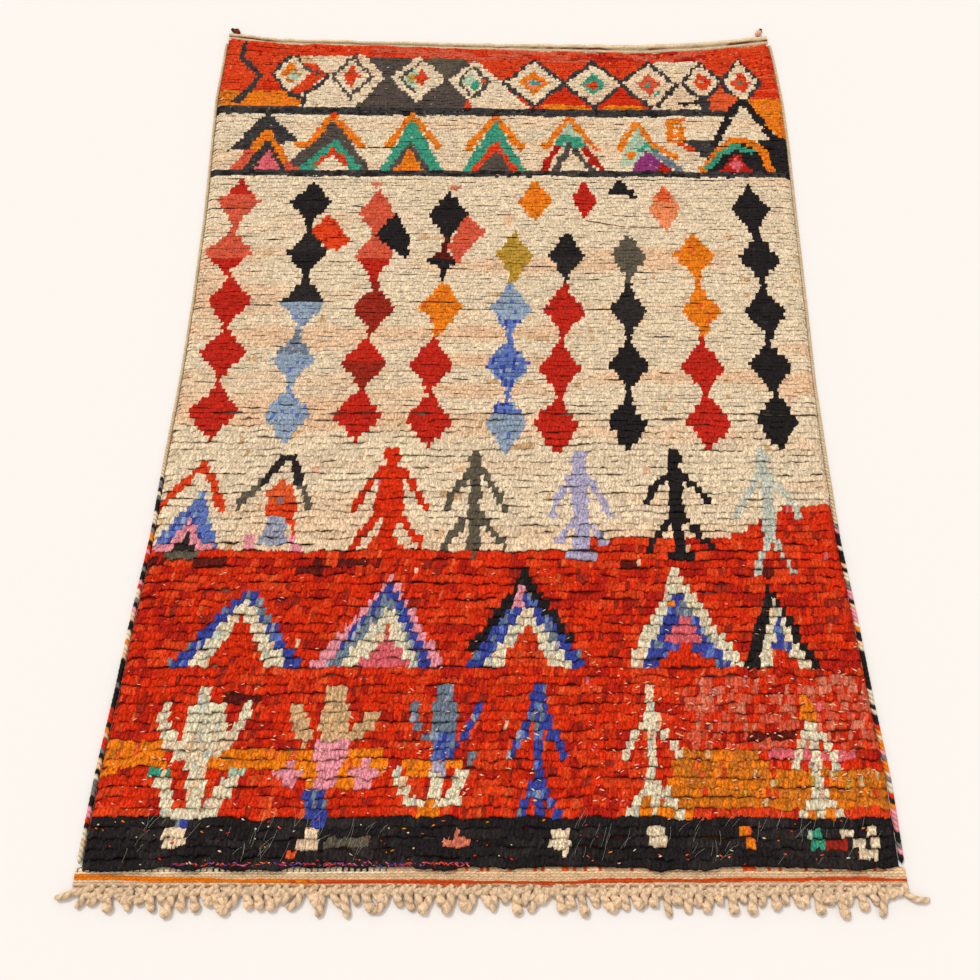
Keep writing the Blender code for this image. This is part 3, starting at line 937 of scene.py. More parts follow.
def tuft_row(zone, piece, row, pitch, knots):
    """One row of tufts: its points, section by section, and corner colours with painted shade and light."""
    strands = len(piece["dips"])
    columns = knots * strands + 1
    column = np.arange(columns)
    start = zone["start"] + row * pitch
    phase = hashed(row, 1, 2.0) - 0.5
    place = column / strands + phase * smooth_step(0, 4, column) * smooth_step(0, 4, columns - 1 - column)
    left, right = cloth_sides(start)
    x = left + (right - left) * place / knots
    across = place / knots * 2.0 - 1.0
    left_knot = np.clip((column - 1) // strands, 0, knots - 1)
    right_knot = np.clip(column // strands, 0, knots - 1)
    lift, stray, lean_aside = [
        0.5 * (hashed(left_knot, row, seed) + hashed(right_knot, row, seed)) - 0.5 for seed in (11, 12, 13)
    ]
    open_gap = smooth_step(
        zone["rare"] - 0.15, zone["rare"] + 0.25, soft_noise(x / zone["gap_length"], row * 0.73, 8.0)
    )
    opening = zone["closed"] + (1.0 - zone["closed"]) * open_gap
    parting = LEAST_PARTING + (1.0 - LEAST_PARTING) * hashed(left_knot, row, 14.0)
    dip = np.array(piece["dips"])[column % strands] * zone["furrow"] * parting * DIP_SHARE
    crest = pile_thickness(start) + zone["lift"] * (2.0 * lift - 0.35)
    lie = lie_of_row(across, start) + wander(x, start)
    lumps = soft_noise(x * 55.0, lie * 55.0, 10.0) + 0.7 * soft_noise(x * 130.0, lie * 130.0, 15.0)
    height = pile_height(x, start, across, crest) + LUMP * lumps
    lie = lie + ROW_WAVE * pitch * soft_noise(x * 24.0, row * 0.9, 9.0)
    # Painted shade along the seam between two knots
    seam_shade = np.where(column % strands == 0, 1.0 - SEAM_SHADE * parting, 1.0)
    points = []
    shades = []
    for number, section in enumerate(as_rows(TUFT_COLUMNS, piece["tuft"])):
        tip = 1.0 if section["along"] < 0.3 and section["below"] < HIDDEN_BELOW else 0.0
        tip *= FIRST_ROWS_TIP if start < FIRST_ROWS_STOP else 1.0
        curl = soft_noise(x * 170.0, row * 3.1 + number * 1.3, 16.0)
        reach = section["along"] * pitch + tip * zone["stray"] * pitch * stray + TIP_CURL * pitch * curl
        lean = zone["slant"] * (section["along"] - 0.3) * pitch + tip * SIDE_LEAN * zone["knot"] * lean_aside
        lean = lean + SIDE_CURL * zone["knot"] * soft_noise(x * 140.0, row * 2.3 + number * 0.8, 17.0)
        z = height - section["below"] * zone["furrow"] * opening - section["sunk"] * opening
        z = z - dip * (1.0 - section["below"]) + 0.35 * zone["lift"] * curl * (1.0 - section["below"])
        held_x = np.clip(x + lean, left, right)
        points.append(np.stack([held_x, lie + reach, np.maximum(z, LOWEST_TUFT)], axis=-1))
        # Hidden root and tail sections get painted shade, fainter where the furrow is shut; the rest get the
        # painted seam shade and painted light where a curl rises.
        hidden = section["below"] >= HIDDEN_BELOW
        darkens = SHUT_FURROW_SHADE + (1.0 - SHUT_FURROW_SHADE) * open_gap if hidden else 1.0
        shade = 1.0 - (1.0 - section["shade"]) * darkens
        shades.append(shade if hidden else shade * seam_shade * (1.0 + 0.10 * curl))
    middle = x[:-1].reshape(knots, strands).mean(axis=1)
    dye_and_shade = np.repeat(knot_colours(middle, start + KNOT_MIDDLE * pitch, row), strands, axis=0)
    return points, dye_and_shade[None, :, None, :] * at_corners(np.array(shades))[..., None]


def build_pile(piece, zone, material):
    """Rows of tufts, each row a strip that curls over its own front and tucks under the next row."""
    count = round((zone["stop"] - zone["start"]) / zone["pitch"])
    pitch = (zone["stop"] - zone["start"]) / count
    knots = round(2.0 * HALF_CLOTH / zone["knot"])
    columns = knots * len(piece["dips"]) + 1
    sections = len(piece["tuft"])
    points = []
    faces = []
    colours = []
    for row in range(piece["first"], piece["stop"]):
        row_points, row_colours = tuft_row(zone, piece, row, pitch, knots)
        faces.append(lattice_faces(sections, columns, len(faces) * sections * columns).reshape(-1, 4))
        points += row_points
        colours.append(row_colours.reshape(-1, 3))
    points, faces, colours = (np.concatenate(parts) for parts in (points, faces, colours))
    return finished_mesh(piece["name"], points, faces, colours, material)


# The woven ground with its flat bands

BAND_STITCH = 0.0108
BAND_ROW = 0.0052
BAND_LINES = 30
STITCH_SLANT = 0.9
BAND_HEIGHTS = (0.0010, 0.0026, 0.0020)
STRIPE_PLACES = np.array((
    (-0.82, 0.0130), (-0.70, 0.0180), (-0.48, 0.0235), (-0.10, 0.0255),
    (0.10, 0.0270), (0.25, 0.0230), (0.55, 0.0200), (0.82, 0.0210),
))
STRIPE_HALF_WIDTHS = (0.0050, 0.0036)
STRIPE_TURNS_ORANGE = -0.40
TEETH_DEPTH = 0.0086
TEETH_STOP = -0.20
TEETH_PAINTED_LIGHT = 1.25
NOTCH_DEPTH = 0.0062
NOTCH_WIDTH = 0.0030
DASHES_START = -0.15
DASH_WIDTH = 0.007
# The far band's lines: share of its depth, height, yarn and shade. The shade is painted light on the top of
# the hem's roll and painted shade in its creases, and the rust lines are painted crease shade.
FAR_BAND_COLUMNS = ("share", "height", "yarn", "shade")
FAR_BAND_ROWS = (
    (0.00, 0.0106, "cream", 1.08),
    (0.09, 0.0102, "cream", 1.00),
    (0.14, 0.0066, "beige", 0.45),
    (0.20, 0.0058, "rust", 0.35),
    (0.30, 0.0064, "beige", 0.80),
    (0.42, 0.0068, "beige", 0.95),
    (0.49, 0.0060, "rust", 0.50),
    (0.56, 0.0072, "rust", 0.60),
    (0.61, 0.0094, "beige", 0.85),
    (0.70, 0.0106, "beige", 1.10),
    (0.82, 0.0104, "beige", 1.10),
    (0.92, 0.0076, "beige", 0.85),
    (1.00, 0.0020, "beige", 0.60),
)
GROUND_COLUMNS = 680
GROUND_ROWS = 16
GROUND_INSET = 0.003
UNDER_PILE_HEIGHT = 0.55
UNDER_PILE_SHADE = 0.25
WEFT_RIDGE = 0.0005
RIDGE_SHADE = 120.0
HEM_RAGGEDNESS = 0.0024
HEM_RIPPLE = 0.0010


def cloth_x(across, along):
    left, right = cloth_sides(along)
    return left + (right - left) * (across + 1.0) / 2.0


def near_band_line(across, depth):
    """A line of the near flat band: two rows of slanting stitches either side of a bright stripe, with
    painted shade.
    """
    x = near_edge(across)
    wave = 0.0010 * soft_noise(x * 14.0, depth * 60.0, 51.0)
    row = np.floor(depth / BAND_ROW)
    within_row = depth / BAND_ROW - row
    slant = STITCH_SLANT if row % 2 else -STITCH_SLANT
    stitch = x / BAND_STITCH + 0.5 * (row % 2) + (within_row - 0.5) * slant
    bulge = math.sin(math.pi * within_row) ** 0.6 * np.abs(np.sin(math.pi * stitch)) ** 0.5
    from_stripe = depth + wave - np.interp(x, STRIPE_PLACES[:, 0], STRIPE_PLACES[:, 1])
    from_stripe = from_stripe + 0.0014 * (hashed(np.floor(stitch), row, 55.0) - 0.5)
    yarns = np.where(from_stripe > 0.0, YARN_CODE["undyed"], YARN_CODE["weft"])
    in_stripe = np.abs(from_stripe) < np.interp(x, (-0.8, 0.2), STRIPE_HALF_WIDTHS)
    yarns[in_stripe] = YARN_CODE["flame"]
    turns_orange = STRIPE_TURNS_ORANGE + 0.1 * hashed(np.floor(stitch), row, 56.0)
    yarns[in_stripe & (x < turns_orange)] = YARN_CODE["orange"]
    if depth < TEETH_DEPTH:
        yarns[x < TEETH_STOP] = YARN_CODE["cream"]
    if depth < NOTCH_DEPTH:
        yarns[(x < TEETH_STOP) & (np.floor(x / NOTCH_WIDTH) % 4 == 0)] = YARN_CODE["ink"]
        yarns[(x > DASHES_START) & (hashed(np.floor(x / DASH_WIDTH), row, 57.0) > 0.80)] = YARN_CODE["flame"]
    # Painted shade between the stitches and painted light on their bulges; the teeth are painted lighter
    # against the pile's shade over them.
    shade = (0.46 + 0.58 * bulge) * (0.88 + 0.20 * hashed(np.floor(stitch), row, 58.0))
    shade = shade * (TEETH_PAINTED_LIGHT if depth < TEETH_DEPTH else 1.0)
    rim, body, stitch_height = BAND_HEIGHTS
    height = rim + (body + stitch_height * bulge) * smooth_step(0.0, 0.003, NEAR_BAND_DEPTH - depth)
    return x, lie_of_row(across, -depth) + wave, height, YARN_COLOURS[yarns] * shade[:, None]


def under_pile_line(across, along):
    x = cloth_x(across, along)
    height = UNDER_PILE_HEIGHT * pile_height(x, along, across, pile_thickness(along))
    return x, lie_of_row(across, along), height, UNDER_PILE_SHADE * YARN_COLOURS[chart(x, along)]


def far_band_line(across, row, band):
    """A line of the far flat band and the hem rolled over beyond it, with painted shade and light on the hem.
    """
    x = cloth_x(across, PILE_LENGTH)
    depth = band["share"] * (far_band_depth(across) + HEM_RAGGEDNESS * soft_noise(x * 34.0, 0.0, 60.0))
    ripple = HEM_RIPPLE * soft_noise(x * 22.0, row * 0.4, 53.0)
    ridge = WEFT_RIDGE * np.where((np.arange(GROUND_COLUMNS) % 2 + row) % 2 == 0, 1.0, -1.0)
    # The painted crease shade is broken along the hem, with beige between its pieces.
    broken = smooth_step(-0.5, 0.7, soft_noise(x * 11.0, 0.0, 61.0) + 0.5 * soft_noise(x * 47.0, 0.0, 62.0))
    crease_shade_share = (broken if band["yarn"] == "rust" else np.ones(GROUND_COLUMNS))[:, None]
    shade = band["shade"] * (1.0 + 0.12 * soft_noise(x * 60.0, row * 1.0, 54.0) + RIDGE_SHADE * ridge)
    height = band["height"] + ridge + ripple * min(1.0, band["height"] / 0.006)
    dye_and_shade = (dye_of(band["yarn"]) * crease_shade_share + dye_of("beige") * (1.0 - crease_shade_share)) * shade[:, None]
    return x, lie_of_row(across, PILE_LENGTH) + depth, height, dye_and_shade


def build_ground(name, material):
    """The thin cloth that the knots are tied to, bare in a band at each end."""
    across = np.linspace(-1.0, 1.0, GROUND_COLUMNS)
    lines = [near_band_line(across, depth) for depth in np.linspace(NEAR_BAND_DEPTH, 0.0004, BAND_LINES)]
    under_pile = np.linspace(GROUND_INSET, PILE_LENGTH - GROUND_INSET, GROUND_ROWS)
    lines += [under_pile_line(across, along) for along in under_pile]
    far_bands = as_rows(FAR_BAND_COLUMNS, FAR_BAND_ROWS)
    lines += [far_band_line(across, row, band) for row, band in enumerate(far_bands)]
    points = np.concatenate([np.stack(line_points, axis=-1) for *line_points, dye_and_shade in lines])
    colours = at_corners(np.clip([dye_and_shade for *line_points, dye_and_shade in lines], 0.0, 1.0)).reshape(-1, 3)
    faces = lattice_faces(len(lines), GROUND_COLUMNS).reshape(-1, 4)
    return finished_mesh(name, points, faces, colours, material)


# Round yarns and cords

def build_tubes(name, tubes, material):
    """One mesh of many tubes, each given by its rings of points and the colour at each point."""
    faces = []
    colours = []
    first = 0
    for surface, dye_and_shade in tubes:
        rings, sides = surface.shape[:2]
        faces.append(lattice_faces(rings, sides, first, closed=True).reshape(-1, 4))
        colours.append(at_corners(np.concatenate([dye_and_shade, dye_and_shade[:, :1]], axis=1)).reshape(-1, 3))
        first += rings * sides
    points = np.concatenate([surface.reshape(-1, 3) for surface, dye_and_shade in tubes])
    return finished_mesh(name, points, np.concatenate(faces), np.concatenate(colours), material)


def cord_surface(path, half_width, half_height, sides, plies, lay_length, groove):
    """Rings of points around a path, with the grooves between twisted plies."""
    run = np.gradient(path, axis=0)
    run /= np.linalg.norm(run, axis=1, keepdims=True)
    side = np.cross(run, np.array((0.0, 0.0, 1.0)))
    side /= np.maximum(np.linalg.norm(side, axis=1, keepdims=True), 1e-6)
    up = np.cross(side, run)
    travelled = np.concatenate([[0.0], np.cumsum(np.linalg.norm(np.diff(path, axis=0), axis=1))])
    angle = np.arange(sides) / sides * 2.0 * math.pi
    phase = angle[None, :] - 2.0 * math.pi * travelled[:, None] / lay_length
    cut = np.abs(np.sin(plies * phase / 2.0))
    swell = 1.0 - groove * (1.0 - cut)
    along_side = (np.cos(angle)[None, :] * swell * np.asarray(half_width)[:, None])[..., None]
    along_up = (np.sin(angle)[None, :] * swell * np.asarray(half_height)[:, None])[..., None]
    return path[:, None, :] + along_side * side[:, None, :] + along_up * up[:, None, :], cut


CLEAR_OF_FLOOR = 0.0004
KNOT_TURNS = 13
KNOT_SIDES = 6


def off_floor(surface):
    surface[..., 2] = np.maximum(surface[..., 2], CLEAR_OF_FLOOR)
    return surface


def knot_ring(path, place, tilt, girth, yarn_radius):
    """One turn of cord around another, as in a ball knot."""
    middle = path[place]
    run = path[min(place + 1, len(path) - 1)] - path[place - 1]
    run = run / np.linalg.norm(run)
    side = np.cross(run, (0.0, 0.0, 1.0))
    side = side / np.linalg.norm(side)
    up = np.cross(side, run)
    turn = np.linspace(0.0, 2.0 * math.pi, KNOT_TURNS)
    circle = np.cos(turn)[:, None] * side * girth + np.sin(turn)[:, None] * up * girth * 0.88
    circle = circle + (np.cos(turn + tilt) * girth * 0.45)[:, None] * run + middle
    forward = np.gradient(circle, axis=0)
    forward[0] = forward[-1] = circle[1] - circle[-2]
    forward /= np.linalg.norm(forward, axis=1, keepdims=True)
    outward = circle - middle
    outward -= (outward * forward).sum(axis=1, keepdims=True) * forward
    outward /= np.linalg.norm(outward, axis=1, keepdims=True)
    third = np.cross(forward, outward)
    angle = np.arange(KNOT_SIDES) / KNOT_SIDES * 2.0 * math.pi
    return off_floor(circle[:, None, :] + yarn_radius * (
        np.cos(angle)[None, :, None] * outward[:, None, :] + np.sin(angle)[None, :, None] * third[:, None, :]
    ))


# Edge bindings: the yarns of their near stretches, and where these end on the left and on the right

NEAR_WRAPS = ("ink", "ivory", "ink", "orange", "ink", "pink", "grey", "ink", "cream", "red", "ink", "peach")
NEAR_WRAPS_STOP = (0.86, 0.74)
NEAR_WRAP = 0.0105
FAR_WRAP = 0.0060
WRAPS_A_STRETCH = 1.3
BINDING_SIDES = 10
RINGS_A_WRAP = 4
END_RINGS = 3.0


def wrap_pitch(along):
    return NEAR_WRAP + (FAR_WRAP - NEAR_WRAP) * smooth_step(0.70, 1.10, along)


def build_binding(name, side, material):
    """Yarn overcast around the outer warps: a tube with one slanting ridge a wrap, painted darker in its
    grooves.
    """
    outward = -1.0 if side == LEFT else 1.0
    starts = [BINDING_START + outward * NEAR_SKEW]
    while starts[-1] < BINDING_STOP:
        starts.append(starts[-1] + wrap_pitch(starts[-1]) / RINGS_A_WRAP)
    along = np.array(starts[:-1])
    ring = np.arange(len(along))
    radius = binding_radius(along)
    centre = edge_at(along, side) - outward * radius
    angle = np.arange(BINDING_SIDES) / BINDING_SIDES * 2.0 * math.pi
    slant = outward * 0.35 * np.sin(angle)[None, :]
    phase = (ring / RINGS_A_WRAP)[:, None] + slant + 0.25 * np.cos(angle)[None, :]
    ridge = np.abs(np.sin(math.pi * phase))
    number = np.floor(phase)
    loose = 1.0 + 0.05 * (hashed(number, 1.0, 61.0 + side) - 0.5)
    ends = np.minimum(1.0, np.minimum(ring, ring[::-1]) / END_RINGS)
    swell = (0.74 + 0.26 * ridge) * loose * ends[:, None]
    surface = np.stack([
        centre[:, None] + radius[:, None] * swell * np.cos(angle)[None, :],
        along[:, None] + 0.0 * angle[None, :],
        radius[:, None] * (1.0 + swell * np.sin(angle)[None, :]),
    ], axis=-1)
    stretch = np.floor(number / WRAPS_A_STRETCH)
    pick = np.floor(hashed(stretch, side, 64.0) * len(NEAR_WRAPS)).astype(int)
    yarns = np.array([YARN_CODE[yarn] for yarn in NEAR_WRAPS])[pick]
    yarns[along > NEAR_WRAPS_STOP[side - LEFT]] = YARN_CODE["beige"]
    # Painted shade in the grooves between wraps, times each wrap's own tone.
    dye_and_shade = YARN_COLOURS[yarns] * ((0.50 + 0.55 * ridge) * (0.9 + 0.2 * hashed(number, 2.0, 63.0)))[..., None]
    return build_tubes(name, [(surface, dye_and_shade)], material)


# Fringe. A twist is a cord's sides, its plies, the length of one turn of them and the depth of their grooves.

TASSEL_LONG = 0.046
TASSEL_SHORT = 0.031
TASSEL_SPREAD = 0.004
TASSEL_SWAY = 0.0045
TASSEL_SWAY_SPREAD = 0.0010
TASSEL_DRIFT = 0.008
LEFT_TASSELS_DRIFT = 0.006
TASSEL_HOOK = 0.024
TASSEL_ARCH = 0.0014
TASSEL_GROOVE_SHADE = 0.48
FINGER_SHARE = 0.40
TASSEL_RINGS = 20
TASSEL_TWIST = (12, 2, 0.034, 0.12)
KNOT_PLACE = 16
KNOT_STEP = 2
KNOT_YARN = 0.0040
TASSEL_KNOTS = ((0.6, 0.0068), (3.4, 0.0064))
SLENDER_FROM = 0.94
SLENDERNESS = 0.70
LOOPS = 66
LOOP_RINGS = 10
LOOP_INSET = 0.012
LOOP_HEIGHT = 0.0062
LOOP_ARCH = 0.0022
LOOP_GROOVE_SHADE = 0.52
LOOP_TWIST = (10, 2, 0.026, 0.12)
HEADING_RINGS = 420
HEADING_TWIST = (10, 2, 0.012, 0.22)
HEADING_HALF_WIDTH = 0.0035
HEADING_INSET = 0.004
HEADING_GROOVE_SHADE = 0.60
PROFILE_SHARE, PROFILE_HALF_WIDTH, PROFILE_HALF_HEIGHT = range(3)
TASSEL_PROFILE = np.array((
    (0.00, 0.0084, 0.0060),
    (0.20, 0.0088, 0.0062),
    (0.45, 0.0076, 0.0058),
    (0.60, 0.0078, 0.0060),
    (0.74, 0.0094, 0.0074),
    (0.88, 0.0096, 0.0074),
    (0.95, 0.0070, 0.0058),
    (1.00, 0.0014, 0.0014),
))
FINGER_PROFILE = np.array((
    (0.00, 0.0080, 0.0060),
    (0.30, 0.0078, 0.0062),
    (0.70, 0.0076, 0.0064),
    (0.88, 0.0072, 0.0060),
    (0.96, 0.0052, 0.0046),
    (1.00, 0.0014, 0.0014),
))


def trait(index, number):
    """A repeatable number from 0 to 1 for one feature of one cord."""
    return hashed(index, float(number), 70.0 + number)


def heading_y(share, depth):
    """Where a share of the near edge's width meets the fringe's heading, at a share of its depth."""
    return lie_of_row(share, -NEAR_BAND_DEPTH) - GAP - depth * FRINGE_STRIP_DEPTH


# Painted shade in the grooves between a cord's plies, times the cord's own tone.
def grooved(dye_and_shade, cut, shadow, tone=1.0):
    return dye_and_shade * (tone * (shadow + (1.0 - shadow) * cut))[..., None]


def tassel(index, dice, dye_and_shade):
    """A twisted cord that ends in a ball knot, or in a plain finger."""
    root = (index + 0.5) / TASSELS * 2.0 - 1.0
    length = (TASSEL_LONG if index % 2 else TASSEL_SHORT) + dice.uniform(-TASSEL_SPREAD, TASSEL_SPREAD)
    length *= 0.90 + 0.28 * trait(index, 11)
    length *= 1.0 - CORNER_SHORTENING * float(smooth_step(SPLAY_STARTS_AT, 1.0, abs(root)))
    sway = TASSEL_SWAY * math.sin(index * 0.55) + dice.uniform(-TASSEL_SWAY_SPREAD, TASSEL_SWAY_SPREAD)
    drift = TASSEL_DRIFT * float(soft_noise(index * 0.31, 0.0, 84.0))
    sway += drift - LEFT_TASSELS_DRIFT * float(smooth_step(0.25, 0.45, -root))
    fan = max(0.0, (abs(root) - SPLAY_STARTS_AT) / (1.0 - SPLAY_STARTS_AT))
    splay = math.copysign(CORNER_SPLAY * fan ** 2, root)
    hook = TASSEL_HOOK * (trait(index, 1) - 0.5) * 2.0
    slender = abs(root) > SLENDER_FROM
    plump = (0.98 + 0.26 * trait(index, 12)) * (SLENDERNESS if slender else 1.0)
    balled = trait(index, 13) > FINGER_SHARE and not slender
    profile = TASSEL_PROFILE if balled else FINGER_PROFILE
    share = np.linspace(0.0, 1.0, TASSEL_RINGS)
    half_width = np.interp(share, profile[:, PROFILE_SHARE], profile[:, PROFILE_HALF_WIDTH]) * plump
    half_height = np.interp(share, profile[:, PROFILE_SHARE], profile[:, PROFILE_HALF_HEIGHT])
    path = np.stack([
        near_edge(root) + (sway + splay) * share ** 1.6 + hook * share ** 2.5,
        float(heading_y(root, 0.5)) - length * share + abs(hook) * 0.6 * share ** 5,
        half_height + CLEAR_OF_FLOOR + TASSEL_ARCH * trait(index, 2) * np.sin(math.pi * share),
    ], axis=-1)
    surface, cut = cord_surface(path, half_width, half_height, *TASSEL_TWIST)
    tone = 0.92 + 0.16 * trait(index, 3)
    tubes = [(off_floor(surface), grooved(dye_and_shade, cut, TASSEL_GROOVE_SHADE, tone))]
    for number, (tilt, girth) in enumerate(TASSEL_KNOTS if balled else ()):
        ring = knot_ring(path, KNOT_PLACE - number * KNOT_STEP, tilt + trait(index, 4), girth, KNOT_YARN)
        tubes.append((ring, np.broadcast_to(dye_and_shade * tone, ring.shape)))
    return tubes


def loop(index, dye_and_shade):
    """A cord that runs from one tassel's root to another's."""
    root = (index + 0.3 + 0.5 * trait(index, 5)) / LOOPS * 2.0 - 1.0
    turn = np.linspace(0.0, math.pi, LOOP_RINGS)
    reach = 0.005 + 0.014 * trait(index, 6) ** 2
    half = 0.009 + 0.010 * trait(index, 7)
    side = 1.0 if trait(index, 8) > 0.5 else -1.0
    path = np.stack([
        near_edge(root, LOOP_INSET) - side * half * np.cos(turn),
        float(heading_y(root, 0.3)) - reach * np.sin(turn) - side * 0.005 * np.cos(turn),
        LOOP_HEIGHT + LOOP_ARCH * np.sin(turn),
    ], axis=-1)
    girth = np.full(LOOP_RINGS, 0.0058 + 0.0018 * trait(index, 9))
    surface, cut = cord_surface(path, girth, girth, *LOOP_TWIST)
    return off_floor(surface), grooved(dye_and_shade, cut, LOOP_GROOVE_SHADE, 0.90 + 0.18 * trait(index, 10))


def heading(dye_and_shade):
    run = np.linspace(-1.0, 1.0, HEADING_RINGS)
    half_height = 0.5 * FRINGE_STRIP_HEIGHT
    height = np.full(HEADING_RINGS, half_height)
    path = np.stack([near_edge(run, HEADING_INSET), heading_y(run, 0.5), height], axis=-1)
    width = np.full(HEADING_RINGS, HEADING_HALF_WIDTH)
    surface, cut = cord_surface(path, width, height, *HEADING_TWIST)
    return surface, grooved(dye_and_shade, cut, HEADING_GROOVE_SHADE)


def build_fringe(material):
    """Tassels and loops hung from a corded heading."""
    dice = random.Random(7)
    dye_and_shade = dye_of("undyed")
    tubes = []
    for index in range(TASSELS):
        tubes += tassel(index, dice, dye_and_shade)
    tubes += [loop(index, dye_and_shade) for index in range(LOOPS)]
    tubes.append(heading(dye_and_shade))
    return build_tubes("fringe_cords", tubes, material)


# Corner ties

CORNER_TIE_COLUMNS = ("name", "node", "edge", "side", "heading", "knot", "tip")
CORNER_TIES = (
    ("tie_left", "corner_tie_left", LEFT, -1.0, 38.0, "rust", "ink"),
    ("tie_right", "corner_tie_right", RIGHT, 1.0, 62.0, "blush", "char"),
)
TIE_INSET = 0.955
TIE_REACH = 0.0045
TIE_RINGS = 24
TIE_TWIST = (16, 5, 0.030, 0.16)
TIE_END_RADIUS = 0.0006
TIE_KNOTS = ((5, 0.4), (8, 2.6))
TIE_KNOT_GIRTH = 0.0068
TIE_KNOT_YARN = 0.0024
TIE_GROOVE_SHADE = 0.6
TIE_TIP_STARTS = (0.55, 0.65)
TIE_PROFILE = np.array((
    (0.000, 0.0045),
    (0.003, 0.0070),
    (0.009, 0.0086),
    (0.015, 0.0070),
    (0.019, 0.0040),
    (0.027, 0.0052),
    (0.033, 0.0030),
))


def build_tie(tie, material):
    """A knot of yarn with a short tuft beyond it."""
    turn = math.radians(tie["heading"])
    across = TIE_INSET * tie["side"]
    start = np.array((
        TIE_INSET * float(edge_at(PILE_LENGTH, tie["edge"])),
        float(lie_of_row(across, PILE_LENGTH) + far_band_depth(across)) + TIE_REACH,
        0.0,
    ))
    forward = np.array((tie["side"] * math.cos(turn), math.sin(turn), 0.0))
    share = np.linspace(0.0, 1.0, TIE_RINGS)
    travelled = share * TIE_PROFILE[-1, 0]
    radius = np.interp(travelled, TIE_PROFILE[:, 0], TIE_PROFILE[:, 1])
    radius[0] = radius[-1] = TIE_END_RADIUS
    path = start + travelled[:, None] * forward + np.array((0.0, 0.0, 1.0)) * (radius[:, None] + 0.0002)
    surface, cut = cord_surface(path, radius, radius, *TIE_TWIST)
    knot = dye_of(tie["knot"])
    blend = smooth_step(*TIE_TIP_STARTS, share)[:, None, None]
    dye_and_shade = knot * (1.0 - blend) + dye_of(tie["tip"]) * blend
    tubes = [(surface, grooved(dye_and_shade, cut, TIE_GROOVE_SHADE))]
    for place, tilt in TIE_KNOTS:
        ring = knot_ring(path, place, tilt, TIE_KNOT_GIRTH, TIE_KNOT_YARN)
        tubes.append((ring, np.broadcast_to(knot, ring.shape)))
    made = build_tubes(tie["name"], tubes, material)
    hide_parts(tie["node"])
    return made


# Stray ends of other yarns that stand out of the pile, pale lint on the dark band, and two long threads

STRAY_COLUMNS = ("count", "left", "right", "start", "stop", "length", "girth", "yarns", "seed")
STRAYS = (
    (300, -0.78, 0.78, 0.100, 0.640, 0.007, 0.0009, ("peach", "blush", "salmon", "ivory"), 91),
    (170, -0.62, -0.04, 0.003, 0.009, 0.008, 0.0011, ("royal", "rose", "red", "magenta", "flame"), 99),
    (260, 0.20, 0.78, 0.120, 0.400, 0.008, 0.0014, ("peach", "blush", "salmon", "pink"), 92),
    (110, -0.78, 0.78, 0.004, 0.090, 0.006, 0.0012, ("ivory", "cream", "orange", "tangerine", "red"), 93),
    (150, -0.78, 0.78, 1.760, 2.280, 0.006, 0.0009, ("ivory", "cream", "peach"), 94),
    (120, -0.74, 0.10, 0.100, 0.300, 0.008, 0.0014, ("peach", "tangerine", "ivory"), 95),
)
STRAY_PROFILE = np.array((0.3, 1.0, 1.1, 0.9, 0.2))
LINT_COLUMNS = ("count", "left", "right", "start", "stop", "seed")
LINT = (
    (9, -0.72, -0.60, 0.012, 0.085, 96),
    (36, -0.52, -0.22, 0.012, 0.085, 97),
    (48, 0.15, 0.76, 0.012, 0.085, 98),
)
LINT_LENGTH = 0.034
LINT_GIRTH = 0.00018
LINT_RINGS = 9
THREAD_COLUMNS = ("yarn", "girth", "bends")
THREADS = (
    ("maroon", 0.0011, ((0.236, 1.612), (0.262, 1.607), (0.290, 1.601))),
    ("rust", 0.0008, ((0.286, 1.602), (0.330, 1.593), (0.380, 1.590), (0.438, 1.592))),
)
THREAD_RINGS = 24
STRAY_SIDES, LINT_SIDES, THREAD_SIDES = (4, 3, 5)


def resting_place(x, along):
    """Where the row really lies at a place, and the height of the pile's tips there."""
    left, right = cloth_sides(along)
    across = (x - left) / (right - left) * 2.0 - 1.0
    height = pile_height(np.array([x]), along, across, pile_thickness(along))
    return float(lie_of_row(across, along)), float(height[0])


def fibre(path, girth, sides, yarn):
    """A plain thin tube of one yarn."""
    surface, cut = cord_surface(path, girth, girth, sides, 1, 1.0, 0.0)
    return surface, np.broadcast_to(dye_of(yarn), (*cut.shape, 3))


def stray(strays, dice):
    """A short end of yarn that lies on the pile with its middle raised."""
    x = dice.uniform(strays["left"], strays["right"])
    along = dice.uniform(strays["start"], strays["stop"])
    turn = dice.uniform(-0.7, 0.7) + (math.pi if dice.random() < 0.5 else 0.0)
    reach = strays["length"] * dice.uniform(0.3, 1.5)
    share = np.linspace(0.0, 1.0, len(STRAY_PROFILE))
    y, height = resting_place(x, along)
    path = np.stack([
        x + reach * (share - 0.5) * math.cos(turn),
        y + reach * (share - 0.5) * math.sin(turn),
        height + 0.0002 + 0.0010 * np.sin(math.pi * share),
    ], axis=-1)
    girth = strays["girth"] * dice.uniform(0.6, 1.4) * STRAY_PROFILE
    return fibre(path, girth, STRAY_SIDES, dice.choice(strays["yarns"]))


def lint_fibre(lint, dice):
    """A long bent hair on the dark band."""
    x = dice.uniform(lint["left"], lint["right"])
    along = dice.uniform(lint["start"], lint["stop"])
    turn = dice.uniform(0.8, 1.4)
    bend = dice.uniform(-0.7, 0.7)
    reach = LINT_LENGTH * dice.uniform(0.5, 1.3) / (LINT_RINGS - 1)
    share = np.linspace(0.0, 1.0, LINT_RINGS)
    y, height = resting_place(x, along)
    path = np.stack([
        x + reach * np.cumsum(np.cos(turn + bend * share)),
        y + reach * np.cumsum(np.sin(turn + bend * share)) - 0.010,
        height + 0.0006 + 0.0008 * np.sin(math.pi * share),
    ], axis=-1)
    return fibre(path, np.full(LINT_RINGS, LINT_GIRTH), LINT_SIDES, "ash")


